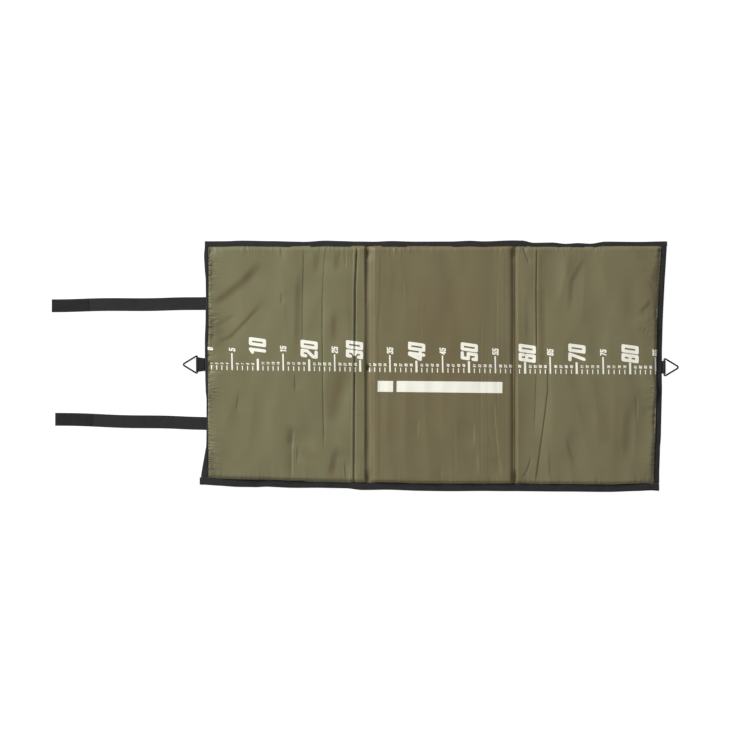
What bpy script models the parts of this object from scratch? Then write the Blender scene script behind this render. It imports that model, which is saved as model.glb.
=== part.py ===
"""Three-panel folding unhooking mat: foam pads in sewn covers, edge tape, two straps and two wire rings.

Metres, +Z up. X runs along the long side, +Y is the back edge. The origin is on the ground under the
middle panel. The mat lies open on its flat underside.
"""

import math

import bmesh
import bpy
import numpy as np

# Outline of the open mat, to the outside of the edge tape.
SEAM_X = 0.1428  # half the middle panel, from the centre to each stitched fold line
LEFT_PANEL = 0.3115  # from the left fold line to the left end, at the back corner
RIGHT_PANEL = 0.2914  # from the right fold line to the right end, at the back corner
RIGHT_LEAN = 0.0145  # how much shorter the right panel is along its front
DEPTH_BACK = 0.2393
DEPTH_FRONT = 0.2405
FRONT_LEFT_RISE = 0.0115  # how far the front edge climbs towards the left corner
FRONT_SEAM_RISE = 0.0020
DRAW_IN_END = 0.0025  # the ends pull in between their corners
DRAW_IN_BACK = 0.0003  # the back pulls in a little between corners and seams
BULGE_FRONT = 0.0015  # the front bulges out between corners and seams
FLARE_OUT = 0.0120  # the tape spreads at the front left corner
FLARE_LENGTH = 0.0750

# Cloth, tape and foam.
GAP = 0.0003
COVER = 0.0006
TAPE = 0.0008
WEBBING = 0.0012
TAPE_LEFT = 0.0045  # width of each leaf of the folded tape, edge by edge
TAPE_RIGHT = 0.0100
TAPE_BACK = 0.0100
TAPE_FRONT = 0.0145
HEM_CLEAR = 0.0006
PAD_EDGE = 0.0135  # height of a padded panel just inside its shoulders
CROWN = 0.0025
SHOULDER_RUN = 0.0180
SEAM_RUN = 0.0140
CURVE_RUN = 0.0150  # the underside curves up to the hem over this distance
SEAM_STRIP = 0.0120
PAD_RISE = 0.0003  # free height under each foam pad, over the cover's highest part
PAD_FOOT_IN = 0.0090

# Folding.
LAYER_GAP = 0.0010

# Straps. Each lies out from the left end and is stitched under the hem.
STRAP_WIDTH = 0.0250
STRAP_BACK_ROOT_Y = 0.1197
STRAP_BACK_TIP_Y = 0.1159
STRAP_BACK_LENGTH = 0.2950
STRAP_FRONT_ROOT_Y = -0.1111
STRAP_FRONT_TIP_Y = -0.1029
STRAP_FRONT_LENGTH = 0.2885
STRAP_STANDOFF = 0.0010
KNUCKLE_GAP = 0.0002
TAIL_LENGTH = 0.0110
HOOK_LENGTH = 0.0700
HOOK_THICK = 0.0010
HOOK_MARGIN = 0.0010
LOOP_THICK = 0.0008
LOOP_MARGIN = 0.0100
RECESS_WALL = 0.0009
RECESS_CLEAR = 0.0005  # free margin round each loop patch in its recess
RECESS_SLACK = 0.0008  # the recess is this much longer in Y than the grid lines need

# Rings and their webbing tabs.
WIRE = 0.0028
RING_HALF_BAR = 0.0176  # to the sharp corner of the wire's centre line, before rounding
RING_REACH = 0.0291  # from the bar to the sharp apex of the wire's centre line
RING_CORNER = 0.0020
RING_APEX_RADIUS = 0.0026
TAB_WIDTH = 0.0240
TAB_FREE_TURN = 0.0003
RING_LEFT_OUT = 0.0138  # from the panel's end to the centre line of the ring's straight bar
RING_LEFT_Y = 0.0023
RING_RIGHT_OUT = 0.0103
RING_RIGHT_Y = -0.0029
TAB_RETURN_LEFT = 0.0110  # how far the upper ply runs back from the bar
TAB_RETURN_RIGHT = 0.0024

# Counts and shares.
SHOULDER_SHARES = (0.08, 0.22, 0.45, 0.72, 1.0)
PAD_FIRST_LINE = 1  # the pads start at this one of the shoulder lines
CURVE_SHARES = (0.3333, 0.6667, 1.0)
INNER_LINES = 3
SETTLE_ROUNDS = 4  # each side of the outline depends a little on the others
KNUCKLE_STEPS = 6
LOOP_STEPS = 10
CORNER_STEPS = 5
LOOP_OPENS_DEG = 150.0
WIRE_RESOLUTION = 2
SMOOTH_DEG = 35.0

# Worked out from the sizes above.
SEWN = 2 * COVER + GAP
LEAF_LOW = WEBBING + GAP
HEM_LIFT = LEAF_LOW + TAPE + GAP
LEAF_HIGH = HEM_LIFT + SEWN + GAP
WALL_IN = TAPE + GAP
FULL = PAD_EDGE + CROWN
HALF_STRIP = SEAM_STRIP / 2
FOLD_RIGHT_Z = FULL + LAYER_GAP / 2
FOLD_LEFT_Z = (2 * FOLD_RIGHT_Z + LAYER_GAP + FULL) / 2
STRAP_MID = WEBBING / 2
UNDER_DEPTH = GAP + HOOK_THICK + GAP + STRAP_MID
STRAP_NEAR = 2 * FOLD_LEFT_Z - STRAP_MID + UNDER_DEPTH
RECESS = LOOP_THICK + GAP
PAD_FLOOR = RECESS + COVER + PAD_RISE
BAR_Z = WIRE / 2 + TAB_FREE_TURN + WEBBING
LEFT_END_X = -(SEAM_X + LEFT_PANEL)
RIGHT_BACK_X = SEAM_X + RIGHT_PANEL
RIGHT_FRONT_X = RIGHT_BACK_X - RIGHT_LEAN
RING_LEFT_X = LEFT_END_X - RING_LEFT_OUT
RING_RIGHT_X = RIGHT_FRONT_X + RING_RIGHT_OUT

AXES = {}  # world place of each axis empty


def clear_scene():
    """Remove every object that the new file came with."""
    for obj in list(bpy.data.objects):
        bpy.data.objects.remove(obj, do_unlink=True)


def material(name, colour, roughness, metallic=0.0):
    """A plain Principled BSDF material."""
    mat = bpy.data.materials.new(name)
    mat.use_nodes = True
    shader = mat.node_tree.nodes["Principled BSDF"]
    shader.inputs["Base Color"].default_value = (*colour, 1.0)
    shader.inputs["Roughness"].default_value = roughness
    shader.inputs["Metallic"].default_value = metallic
    return mat


def depth_share(y):
    """How far y lies from the front edge, as a share of the depth."""
    return (np.asarray(y) + DEPTH_FRONT) / (DEPTH_FRONT + DEPTH_BACK)


def between_posts(x):
    """A share that is 0 at the corners and seams and 1 half way between them."""
    posts = (LEFT_END_X, -SEAM_X, SEAM_X, RIGHT_BACK_X)
    return np.abs(np.sin(math.pi * np.interp(x, posts, range(len(posts)))))


def edge_front(x):
    """Y of the front edge."""
    posts = (LEFT_END_X, -SEAM_X, SEAM_X)
    depths = (DEPTH_FRONT - FRONT_LEFT_RISE, DEPTH_FRONT - FRONT_SEAM_RISE, DEPTH_FRONT)
    return -np.interp(x, posts, depths) - BULGE_FRONT * between_posts(x)


def edge_back(x):
    """Y of the back edge."""
    return DEPTH_BACK - DRAW_IN_BACK * between_posts(x)


def edge_left(y):
    """X of the left end, with the flare at its front corner."""
    flare_top = FLARE_LENGTH + FRONT_LEFT_RISE - DEPTH_FRONT
    flare = np.clip((flare_top - np.asarray(y)) / FLARE_LENGTH, 0, 1)
    return LEFT_END_X + DRAW_IN_END * np.sin(math.pi * depth_share(y)) - FLARE_OUT * flare


def edge_right(y):
    """X of the right end, which leans inwards towards the front."""
    straight = RIGHT_FRONT_X + RIGHT_LEAN * depth_share(y)
    return straight - DRAW_IN_END * np.sin(math.pi * depth_share(y))


def fixed(x):
    """A straight side at x."""
    return lambda y: x + 0 * np.asarray(y)


PANELS = {
    "left": {"low": edge_left, "high": fixed(-SEAM_X - HALF_STRIP), "tapes": (TAPE_LEFT, None)},
    "middle": {"low": fixed(HALF_STRIP - SEAM_X), "high": fixed(SEAM_X - HALF_STRIP), "tapes": (None, None)},
    "right": {"low": fixed(SEAM_X + HALF_STRIP), "high": edge_right, "tapes": (None, TAPE_RIGHT)},
}


def hem_end(tape):
    """Distance from the outline to where the padding starts."""
    return tape + HEM_CLEAR


def smooth(share):
    """A ramp from 0 to 1 with level ends."""
    share = np.clip(share, 0, 1)
    return share * share * (3 - 2 * share)


def rounded(share):
    """A quarter of an ellipse from 0 to 1, steep first and level last."""
    return np.sqrt(1 - (1 - np.clip(share, 0, 1)) ** 2)


def strap_axis_x(root_y):
    """X of the line about which a strap lifts from the left end."""
    return float(edge_left(root_y)) - STRAP_STANDOFF


STRAPS = {
    "back": {"root": STRAP_BACK_ROOT_Y, "tip": STRAP_BACK_TIP_Y, "length": STRAP_BACK_LENGTH},
    "front": {"root": STRAP_FRONT_ROOT_Y, "tip": STRAP_FRONT_TIP_Y, "length": STRAP_FRONT_LENGTH},
}


def loop_span():
    """Low and high X of both loop patches, which take the hook patches of the wrapped straps."""
    tips = []
    for strap in STRAPS.values():
        folded_axis = -2 * SEAM_X - strap_axis_x(strap["root"])
        tips.append(folded_axis - strap["length"] + STRAP_NEAR)
    wall = SEAM_X - HALF_STRIP - LOOP_MARGIN
    low, high = min(tips) - LOOP_MARGIN, max(tips) + HOOK_LENGTH + LOOP_MARGIN
    return max(low, -wall), min(high, wall)


def loop_y(strap):
    """Y of a loop patch: the strap's centre line half way along its hook patch."""
    slant = (strap["root"] - strap["tip"]) / strap["length"]
    return strap["tip"] + slant * HOOK_LENGTH / 2


LOOP_LOW, LOOP_HIGH = loop_span()
RECESS_HALF = STRAP_WIDTH / 2 + RECESS_CLEAR


def plateau(value, low, high):
    """1 between low and high, falling to 0 over the recess wall on each side."""
    inside = np.minimum(value - low, high - value)
    return np.clip(1 + inside / RECESS_WALL, 0, 1)


def hem_level(name, x, y):
    """Z of the underside of the covers: flat on the ground, curved up to the hem near free edges."""
    panel = PANELS[name]
    level = smooth((y - edge_front(x) - hem_end(TAPE_FRONT)) / CURVE_RUN)
    level = level * smooth((edge_back(x) - y - hem_end(TAPE_BACK)) / CURVE_RUN)
    low_tape, high_tape = panel["tapes"]
    if low_tape:
        level = level * smooth((x - panel["low"](y) - hem_end(low_tape)) / CURVE_RUN)
    if high_tape:
        level = level * smooth((panel["high"](y) - x - hem_end(high_tape)) / CURVE_RUN)
    return HEM_LIFT * (1 - level)


def underside(name, x, y):
    """Z of the bottom cover's outer face, with a shallow recess for each loop patch."""
    z = hem_level(name, x, y)
    if name == "middle":
        for strap in STRAPS.values():
            centre = loop_y(strap)
            half = RECESS_HALF + RECESS_SLACK
            inside = plateau(y, centre - half, centre + half)
            z = z + RECESS * inside * plateau(x, LOOP_LOW - RECESS_CLEAR, LOOP_HIGH + RECESS_CLEAR)
    return z


def topside(name, x, y):
    """Z of the top cover's outer face: a crowned cushion with rounded shoulders."""
    panel = PANELS[name]
    low, high = panel["low"](y), panel["high"](y)
    across = math.pi * (x - low) / (high - low)
    height = PAD_EDGE - SEWN + CROWN * np.sin(across) * np.sin(math.pi * depth_share(y))
    height = height * rounded((y - edge_front(x) - hem_end(TAPE_FRONT)) / SHOULDER_RUN)
    height = height * rounded((edge_back(x) - y - hem_end(TAPE_BACK)) / SHOULDER_RUN)
    for distance, tape in zip((x - low, high - x), panel["tapes"]):
        if tape:
            height = height * rounded((distance - hem_end(tape)) / SHOULDER_RUN)
        else:
            height = height * rounded((distance - GAP / 2) / SEAM_RUN)
    return hem_level(name, x, y) + SEWN + height


def side_offsets(tape, run, shares):
    """Distances from one side of a panel at which its grid has a line."""
    if tape is None:
        return [GAP / 2] + [GAP / 2 + share * run for share in shares]
    return [WALL_IN, hem_end(tape)] + [hem_end(tape) + share * run for share in shares]


def grid_lines(low_offsets, high_offsets, inner):
    """Lines as (share, offset) pairs: near the low side, spread between, near the high side."""
    lines = [(0.0, offset) for offset in low_offsets]
    for step in range(1, inner + 1):
        share = step / (inner + 1)
        blend = low_offsets[-1] * (1 - share) - high_offsets[-1] * share
        lines.append((share, blend))
    return lines + [(1.0, -offset) for offset in reversed(high_offsets)]


def columns(lines):
    """Shares and offsets of grid lines as two arrays."""
    return np.array([line[0] for line in lines]), np.array([line[1] for line in lines])


def panel_grid(name, across, along):
    """X and Y of a panel's grid, from its lines across (X) and along (Y)."""
    panel = PANELS[name]
    share_x, offset_x = (column[:, None] for column in columns(across))
    share_y, offset_y = (column[None, :] for column in columns(along))
    y = share_y * (DEPTH_FRONT + DEPTH_BACK) - DEPTH_FRONT + offset_y
    for _ in range(SETTLE_ROUNDS):
        low, high = panel["low"](y), panel["high"](y)
        x = low + (high - low) * share_x + offset_x
        y = edge_front(x) * (1 - share_y) + edge_back(x) * share_y + offset_y
    return x, y


def cover_lines(name, run, shares):
    """Lines across and along a cover, close together where it curves."""
    low_tape, high_tape = PANELS[name]["tapes"]
    low = side_offsets(low_tape, run if low_tape else SEAM_RUN, shares)
    high = side_offsets(high_tape, run if high_tape else SEAM_RUN, shares)
    front, back = side_offsets(TAPE_FRONT, run, shares), side_offsets(TAPE_BACK, run, shares)
    along = grid_lines(front, back, INNER_LINES)
    if name == "left":
        along = with_lines(along, [FLARE_LENGTH], DEPTH_FRONT + DEPTH_BACK)
    return grid_lines(low, high, INNER_LINES), along


def with_lines(lines, offsets, span):
    """The lines with more at the given offsets from the low side, in order over the span."""
    return sorted(lines + [(0.0, offset) for offset in offsets], key=lambda line: line[0] * span + line[1])


def offset_in(x, y, z, distance):
    """The grid moved a distance along its normals, into the cushion."""
    points = np.stack([x, y, z], axis=-1)
    along_i = np.gradient(points, axis=0)
    along_j = np.gradient(points, axis=1)
    normal = np.cross(along_i, along_j)
    normal = normal / np.linalg.norm(normal, axis=-1, keepdims=True)
    return points - distance * normal


def grid_faces(count_i, count_j, start, up):
    """Triangles over a grid of points, facing up or down."""
    faces = []
    for i in range(count_i - 1):
        for j in range(count_j - 1):
            a = start + i * count_j + j
            b, c, d = a + count_j, a + count_j + 1, a + 1
            faces += [(a, b, c), (a, c, d)] if up else [(a, c, b), (a, d, c)]
    return faces


def rim(count_i, count_j):
    """Indices of a grid's border, anticlockwise seen from above."""
    front = [i * count_j for i in range(count_i)]
    right = [(count_i - 1) * count_j + j for j in range(1, count_j)]
    back = [i * count_j + count_j - 1 for i in range(count_i - 2, -1, -1)]
    left = list(range(count_j - 2, 0, -1))
    return front + right + back + left


def ring_faces(upper, lower):
    """Quads between two closed rings of indices, facing out."""
    count = len(upper)
    return [
        (upper[k], lower[k], lower[(k + 1) % count], upper[(k + 1) % count]) for k in range(count)
    ]


def slab(upper, lower):
    """Vertices and faces of a closed sheet between two grids of points."""
    count_i, count_j = upper.shape[:2]
    start = count_i * count_j
    verts = np.concatenate([upper.reshape(-1, 3), lower.reshape(-1, 3)])
    border = rim(count_i, count_j)
    faces = grid_faces(count_i, count_j, 0, True) + grid_faces(count_i, count_j, start, False)
    return verts, faces + ring_faces(border, [start + k for k in border])


def part(name, verts, faces, mat, axis=None):
    """One named object. Its origin is at the axis empty that carries it, or at the world's origin."""
    origin = np.zeros(3) if axis is None else AXES[axis]
    mesh = bpy.data.meshes.new(name)
    mesh.from_pydata((np.asarray(verts) - origin).tolist(), [], faces)
    mesh.materials.append(mat)
    mesh.validate()
    obj = bpy.data.objects.new(name, mesh)
    bpy.context.scene.collection.objects.link(obj)
    if axis is not None:
        obj.parent = bpy.data.objects[axis]
    mesh.shade_smooth()
    mesh.set_sharp_from_angle(angle=math.radians(SMOOTH_DEG))
    return obj


def axis_empty(name, place, parent=None):
    """An empty on a fold or hinge line, which carries what turns about it."""
    empty = bpy.data.objects.new(name, None)
    bpy.context.scene.collection.objects.link(empty)
    place = np.array(place, float)
    AXES[name] = place
    if parent is None:
        empty.location = place.tolist()
    else:
        empty.parent = bpy.data.objects[parent]
        empty.location = (place - AXES[parent]).tolist()


def top_cover(name, axis, mat):
    """The coated cloth over one pad."""
    x, y = panel_grid(name, *cover_lines(name, SHOULDER_RUN, SHOULDER_SHARES))
    z = topside(name, x, y)
    upper = np.stack([x, y, z], axis=-1)
    part(f"top_cover_{name}", *slab(upper, offset_in(x, y, z, COVER)), mat, axis)


def foam_pad(name, axis, mat):
    """A block of foam that fills the space between the covers."""
    x, y = panel_grid(name, *cover_lines(name, SHOULDER_RUN, SHOULDER_SHARES))
    full = offset_in(x, y, topside(name, x, y), COVER + GAP)
    low_tape, high_tape = PANELS[name]["tapes"]
    first = (2 if low_tape else 1) + PAD_FIRST_LINE
    last = full.shape[0] - (2 if high_tape else 1) - PAD_FIRST_LINE
    upper = full[first:last, 2 + PAD_FIRST_LINE : full.shape[1] - 2 - PAD_FIRST_LINE]
    count_i, count_j = upper.shape[:2]
    border = rim(count_i, count_j)
    edge = upper.reshape(-1, 3)[border]
    wall = edge.copy()
    wall[:, 2] = np.maximum(hem_level(name, edge[:, 0], edge[:, 1]) + COVER + GAP, PAD_FLOOR)
    centre = (edge.min(axis=0) + edge.max(axis=0)) / 2
    size = edge.max(axis=0) - edge.min(axis=0)
    foot = centre + (edge - centre) * (1 - 2 * PAD_FOOT_IN / size)
    foot[:, 2] = PAD_FLOOR
    start, count = count_i * count_j, len(border)
    wall_ring = list(range(start, start + count))
    foot_ring = list(range(start + count, start + 2 * count))
    verts = np.concatenate([upper.reshape(-1, 3), wall, foot])
    faces = grid_faces(count_i, count_j, 0, True)
    faces += ring_faces(border, wall_ring) + ring_faces(wall_ring, foot_ring)
    faces.append(tuple(reversed(foot_ring)))
    part(f"foam_pad_{name}", verts, faces, mat, axis)


def bottom_cover(name, axis, mat):
    """The cloth under one pad."""
    across, along = cover_lines(name, CURVE_RUN, CURVE_SHARES)
    if name == "middle":
        low = HALF_STRIP - SEAM_X
        start, end = LOOP_LOW - RECESS_CLEAR, LOOP_HIGH + RECESS_CLEAR
        walls = (start - RECESS_WALL, start, end, end + RECESS_WALL)
        across = with_lines(across, [wall - low for wall in walls], 2 * SEAM_X - SEAM_STRIP)
        far = RECESS_HALF + 2 * RECESS_SLACK + RECESS_WALL
        front_y = float(edge_front((LOOP_LOW + LOOP_HIGH) / 2))
        for strap in STRAPS.values():
            centre = loop_y(strap) - front_y
            walls = (centre - far, centre - RECESS_HALF, centre + RECESS_HALF, centre + far)
            along = with_lines(along, walls, DEPTH_FRONT + DEPTH_BACK)
    x, y = panel_grid(name, across, along)
    z = underside(name, x, y)
    upper = np.stack([x, y, z + COVER], axis=-1)
    part(f"bottom_cover_{name}", *slab(upper, np.stack([x, y, z], axis=-1)), mat, axis)


def fold_seam(side, way, mat):
    """The sewn strip between two pads, where both covers are stitched together and the mat folds."""
    half = HALF_STRIP - GAP / 2
    x = way * SEAM_X + np.array([-half, half])[:, None]
    along = grid_lines(
        side_offsets(TAPE_FRONT, CURVE_RUN, CURVE_SHARES),
        side_offsets(TAPE_BACK, CURVE_RUN, CURVE_SHARES),
        INNER_LINES,
    )
    share, offset = (column[None, :] for column in columns(along))
    y = edge_front(x) * (1 - share) + edge_back(x) * share + offset
    x = x + 0 * y
    z = hem_level("middle", x, y)
    upper = np.stack([x, y, z + SEWN], axis=-1)
    part(f"fold_seam_{side}", *slab(upper, np.stack([x, y, z], axis=-1)), mat)


def edge_tape(name, outline, inward, leaf, mat, axis):
    """Tape folded over the hem: a U section carried along the outline, open towards the mat."""
    low, high = LEAF_LOW, LEAF_HIGH + TAPE
    section = [(0, low), (leaf, low), (leaf, low + TAPE), (TAPE, low + TAPE)]
    section += [(TAPE, high - TAPE), (leaf, high - TAPE), (leaf, high), (0, high)]
    count = len(section)
    verts = []
    for x, y in outline:
        verts += [(x + inward[0] * d, y + inward[1] * d, z) for d, z in section]
    faces = [tuple(reversed(range(count)))]
    for k in range(len(outline) - 1):
        here, after = k * count, (k + 1) * count
        for m in range(count):
            n = (m + 1) % count
            faces.append((here + m, here + n, after + n, after + m))
    faces.append(tuple(range((len(outline) - 1) * count, len(outline) * count)))
    obj = part(name, verts, faces, mat, axis)
    face_out(obj.data)


def face_out(mesh):
    """Turn every face of a closed mesh outwards."""
    work = bmesh.new()
    work.from_mesh(mesh)
    bmesh.ops.recalc_face_normals(work, faces=work.faces[:])
    work.to_mesh(mesh)
    work.free()


def long_tapes(name, axis, mat):
    """The back and front tapes along one panel."""
    low_tape, high_tape = PANELS[name]["tapes"]
    x, _ = panel_grid(name, *cover_lines(name, SHOULDER_RUN, SHOULDER_SHARES))
    overlap = GAP / 2 - SEAM_STRIP if name == "middle" else GAP / 2
    front_corners = (float(edge_front(LEFT_END_X)), float(edge_front(RIGHT_FRONT_X)))
    sides = (
        ("front", edge_front, 0, front_corners, (0, 1), TAPE_FRONT),
        ("back", edge_back, -1, (DEPTH_BACK, DEPTH_BACK), (0, -1), TAPE_BACK),
    )
    for side, edge, column, corners, inward, leaf in sides:
        low = float(edge_left(corners[0])) if low_tape else PANELS[name]["low"](0) + overlap
        high = float(edge_right(corners[1])) if high_tape else PANELS[name]["high"](0) - overlap
        stations = [low, *x[2:-2, column], high]
        if name == "middle":
            stations = sorted(stations + [-SEAM_X, SEAM_X])
        stations = np.array(stations, float)
        edge_tape(f"binding_{side}_{name}", list(zip(stations, edge(stations))), inward, leaf, mat, axis)


def end_tapes(mat):
    """The tapes across the two ends, between the long tapes."""
    for name, end_x, edge, way, leaf in (
        ("left", LEFT_END_X, edge_left, 1, TAPE_LEFT),
        ("right", RIGHT_FRONT_X, edge_right, -1, TAPE_RIGHT),
    ):
        _, y = panel_grid(name, *cover_lines(name, SHOULDER_RUN, SHOULDER_SHARES))
        inner = y[0 if name == "left" else -1, 2:-2]
        low = float(edge_front(end_x)) + TAPE_FRONT + GAP
        high = float(edge_back(end_x)) - TAPE_BACK - GAP
        stations = np.array([low, *inner[(inner > low) & (inner < high)], high], float)
        outline = list(zip(edge(stations), stations))
        edge_tape(f"binding_{name}_end", outline, (way, 0), leaf, mat, f"fold_{name}_axis")


def extrude_profile(name, profile, middle_y, width, mat, axis):
    """A closed X-Z profile given a width in Y. middle_y gives the centre line's Y for each X."""
    count = len(profile)
    verts = [(x, middle_y(x) - width / 2, z) for x, z in profile]
    verts += [(x, middle_y(x) + width / 2, z) for x, z in profile]
    faces = [tuple(range(count)), tuple(reversed(range(count, 2 * count)))]
    for m in range(count):
        n = (m + 1) % count
        faces.append((m, n, n + count, m + count))
    obj = part(name, verts, faces, mat, axis)
    face_out(obj.data)


def round_end(axis_x, x_far):
    """A strap's side profile: a half round about its hinge line, then flat out to x_far."""
    turn = np.linspace(-math.pi / 2, math.pi / 2, KNUCKLE_STEPS + 1)
    profile = [(axis_x + STRAP_MID * math.cos(a), STRAP_MID * (1 + math.sin(a))) for a in turn]
    return profile + [(x_far, WEBBING), (x_far, 0)]


def block(x_from, x_to, low, high):
    """A rectangular side profile."""
    return [(x_from, low), (x_to, low), (x_to, high), (x_from, high)]


def strap(side, webbing, hook):
    """A webbing strap: a tail under the hem, a short part over the stack's side, and a long part."""
    size = STRAPS[side]
    root_x = strap_axis_x(size["root"])
    bend_x = root_x - STRAP_NEAR
    tip_x = root_x - size["length"]
    slant = (size["root"] - size["tip"]) / size["length"]
    knuckle = STRAP_MID + KNUCKLE_GAP

    def middle_y(x):
        return size["root"] + slant * (x - root_x)

    axis_empty(f"strap_{side}_lift", (root_x, middle_y(root_x), STRAP_MID), "fold_left_axis")
    axis_empty(f"strap_{side}_wrap", (bend_x, middle_y(bend_x), STRAP_MID), f"strap_{side}_lift")
    tail_end = float(edge_left(size["root"])) + TAIL_LENGTH
    tail = block(root_x + knuckle, tail_end, 0, WEBBING)
    extrude_profile(f"strap_{side}_tail", tail, middle_y, STRAP_WIDTH, webbing, "fold_left_axis")
    near = round_end(root_x, bend_x + knuckle)
    extrude_profile(f"strap_{side}_near", near, middle_y, STRAP_WIDTH, webbing, f"strap_{side}_lift")
    far = round_end(bend_x, tip_x)
    extrude_profile(f"strap_{side}_far", far, middle_y, STRAP_WIDTH, webbing, f"strap_{side}_wrap")
    patch_x = tip_x + HOOK_MARGIN
    patch = block(patch_x, patch_x + HOOK_LENGTH, WEBBING + GAP, WEBBING + GAP + HOOK_THICK)
    width = STRAP_WIDTH - 2 * HOOK_MARGIN
    extrude_profile(f"hook_patch_{side}", patch, middle_y, width, hook, f"strap_{side}_wrap")
    pad = block(LOOP_LOW, LOOP_HIGH, 0, LOOP_THICK)
    extrude_profile(f"loop_patch_{side}", pad, fixed(loop_y(size)), STRAP_WIDTH, hook, None)


def ribbon(path, thickness):
    """The outline of a flat band that follows a path of X-Z points, with mitred bends."""
    path = np.array(path)
    steps = np.diff(path, axis=0)
    steps = steps / np.linalg.norm(steps, axis=1, keepdims=True)
    normals = np.stack([-steps[:, 1], steps[:, 0]], axis=1)
    first, last = normals[:1], normals[-1:]
    joined = normals[:-1] + normals[1:]
    scale = 1 + np.sum(normals[:-1] * normals[1:], axis=1, keepdims=True)
    mitre = np.concatenate([first, joined / scale, last])
    outer = path + mitre * thickness / 2
    inner = path - mitre * thickness / 2
    return [tuple(p) for p in np.concatenate([outer, inner[::-1]])]


def ring_tab(side, way, bar_x, bar_y, wall_x, back_run, mat, axis):
    """A webbing tab: its lower ply runs from under the hem, round the ring's bar and back on itself."""
    radius = WIRE / 2 + TAB_FREE_TURN + STRAP_MID
    opens = math.radians(LOOP_OPENS_DEG)
    turn = np.linspace(-math.pi / 2, opens, LOOP_STEPS)
    path = [(wall_x - way * TAIL_LENGTH, STRAP_MID)]
    path += [(bar_x + way * radius * math.cos(a), BAR_Z + radius * math.sin(a)) for a in turn]
    leave_x = path[-1][0]
    path.append((leave_x - way * back_run, STRAP_MID + WEBBING + GAP + TAB_FREE_TURN))
    outline = ribbon(path, WEBBING)
    extrude_profile(f"ring_tab_{side}", outline, fixed(bar_y), TAB_WIDTH, mat, axis)


def ring_path(way):
    """Centre line of a triangular wire ring, from its bar's middle, with rounded corners."""
    corners = [
        (0, -RING_HALF_BAR, RING_CORNER),
        (way * RING_REACH, 0, RING_APEX_RADIUS),
        (0, RING_HALF_BAR, RING_CORNER),
    ]
    points = []
    for k, (x, y, radius) in enumerate(corners):
        here = np.array([x, y])
        before = np.array(corners[k - 1][:2]) - here
        after = np.array(corners[(k + 1) % len(corners)][:2]) - here
        before = before / np.linalg.norm(before)
        after = after / np.linalg.norm(after)
        half_angle = math.acos(float(before @ after)) / 2
        middle = (before + after) / np.linalg.norm(before + after)
        centre = here + middle * radius / math.sin(half_angle)
        start = here + before * radius / math.tan(half_angle) - centre
        end = here + after * radius / math.tan(half_angle) - centre
        for share in np.linspace(0, 1, CORNER_STEPS):
            mixed = start * (1 - share) + end * share
            points.append(centre + radius * mixed / np.linalg.norm(mixed))
    return points


def wire_ring(side, way, bar_x, bar_y, mat, carrier):
    """A bent wire triangle that swings in its tab. Its apex rests on the ground."""
    axis_empty(f"ring_{side}_pivot", (bar_x, bar_y, BAR_Z), carrier)
    path = ring_path(way)
    curve = bpy.data.curves.new(f"ring_{side}", "CURVE")
    curve.dimensions = "3D"
    curve.bevel_depth = WIRE / 2
    curve.bevel_resolution = WIRE_RESOLUTION
    curve.use_fill_caps = True
    spline = curve.splines.new("POLY")
    spline.points.add(len(path) - 1)
    for point, (x, y) in zip(spline.points, path):
        point.co = (x, y, 0, 1)
    spline.use_cyclic_u = True
    curve.materials.append(mat)
    ring = bpy.data.objects.new(f"ring_{side}", curve)
    bpy.context.scene.collection.objects.link(ring)
    ring.parent = bpy.data.objects[f"ring_{side}_pivot"]
    ring.rotation_euler = (0, way * math.asin((BAR_Z - WIRE / 2) / max(way * x for x, _ in path)), 0)


def build():
    """Make the whole mat."""
    clear_scene()
    cloth = material("olive coated cloth", (0.175, 0.155, 0.095), 0.42)
    under = material("dark underside cloth", (0.050, 0.048, 0.038), 0.6)
    foam = material("grey closed-cell foam", (0.30, 0.31, 0.33), 0.85)
    tape = material("black edge tape", (0.022, 0.022, 0.021), 0.7)
    webbing = material("black webbing", (0.030, 0.030, 0.030), 0.75)
    hook = material("black hook and loop tape", (0.015, 0.015, 0.015), 0.9)
    wire = material("black coated wire", (0.020, 0.020, 0.022), 0.35)
    axis_empty("fold_left_axis", (-SEAM_X, 0, FOLD_LEFT_Z))
    axis_empty("fold_right_axis", (SEAM_X, 0, FOLD_RIGHT_Z))
    for name, axis in (("left", "fold_left_axis"), ("middle", None), ("right", "fold_right_axis")):
        foam_pad(name, axis, foam)
        top_cover(name, axis, cloth)
        bottom_cover(name, axis, under)
        long_tapes(name, axis, tape)
    fold_seam("left", -1, cloth)
    fold_seam("right", 1, cloth)
    end_tapes(tape)
    for side in STRAPS:
        strap(side, webbing, hook)
    wall = float(edge_left(RING_LEFT_Y))
    ring_tab("left", -1, RING_LEFT_X, RING_LEFT_Y, wall, TAB_RETURN_LEFT, webbing, "fold_left_axis")
    wall = float(edge_right(RING_RIGHT_Y))
    ring_tab("right", 1, RING_RIGHT_X, RING_RIGHT_Y, wall, TAB_RETURN_RIGHT, webbing, "fold_right_axis")
    wire_ring("left", -1, RING_LEFT_X, RING_LEFT_Y, wire, "fold_left_axis")
    wire_ring("right", 1, RING_RIGHT_X, RING_RIGHT_Y, wire, "fold_right_axis")


build()
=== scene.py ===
# %% [markdown]
# # A folding unhooking mat
#
# The mat is three thin foam pads in sewn cloth covers, laid in a row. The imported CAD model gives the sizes
# and the hinges. This script dresses it: every soft piece is worked out as a surface with numpy, takes the
# place of its plain solid, and then rides on the body that carries it.

# %% Load the frame
import math

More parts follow.
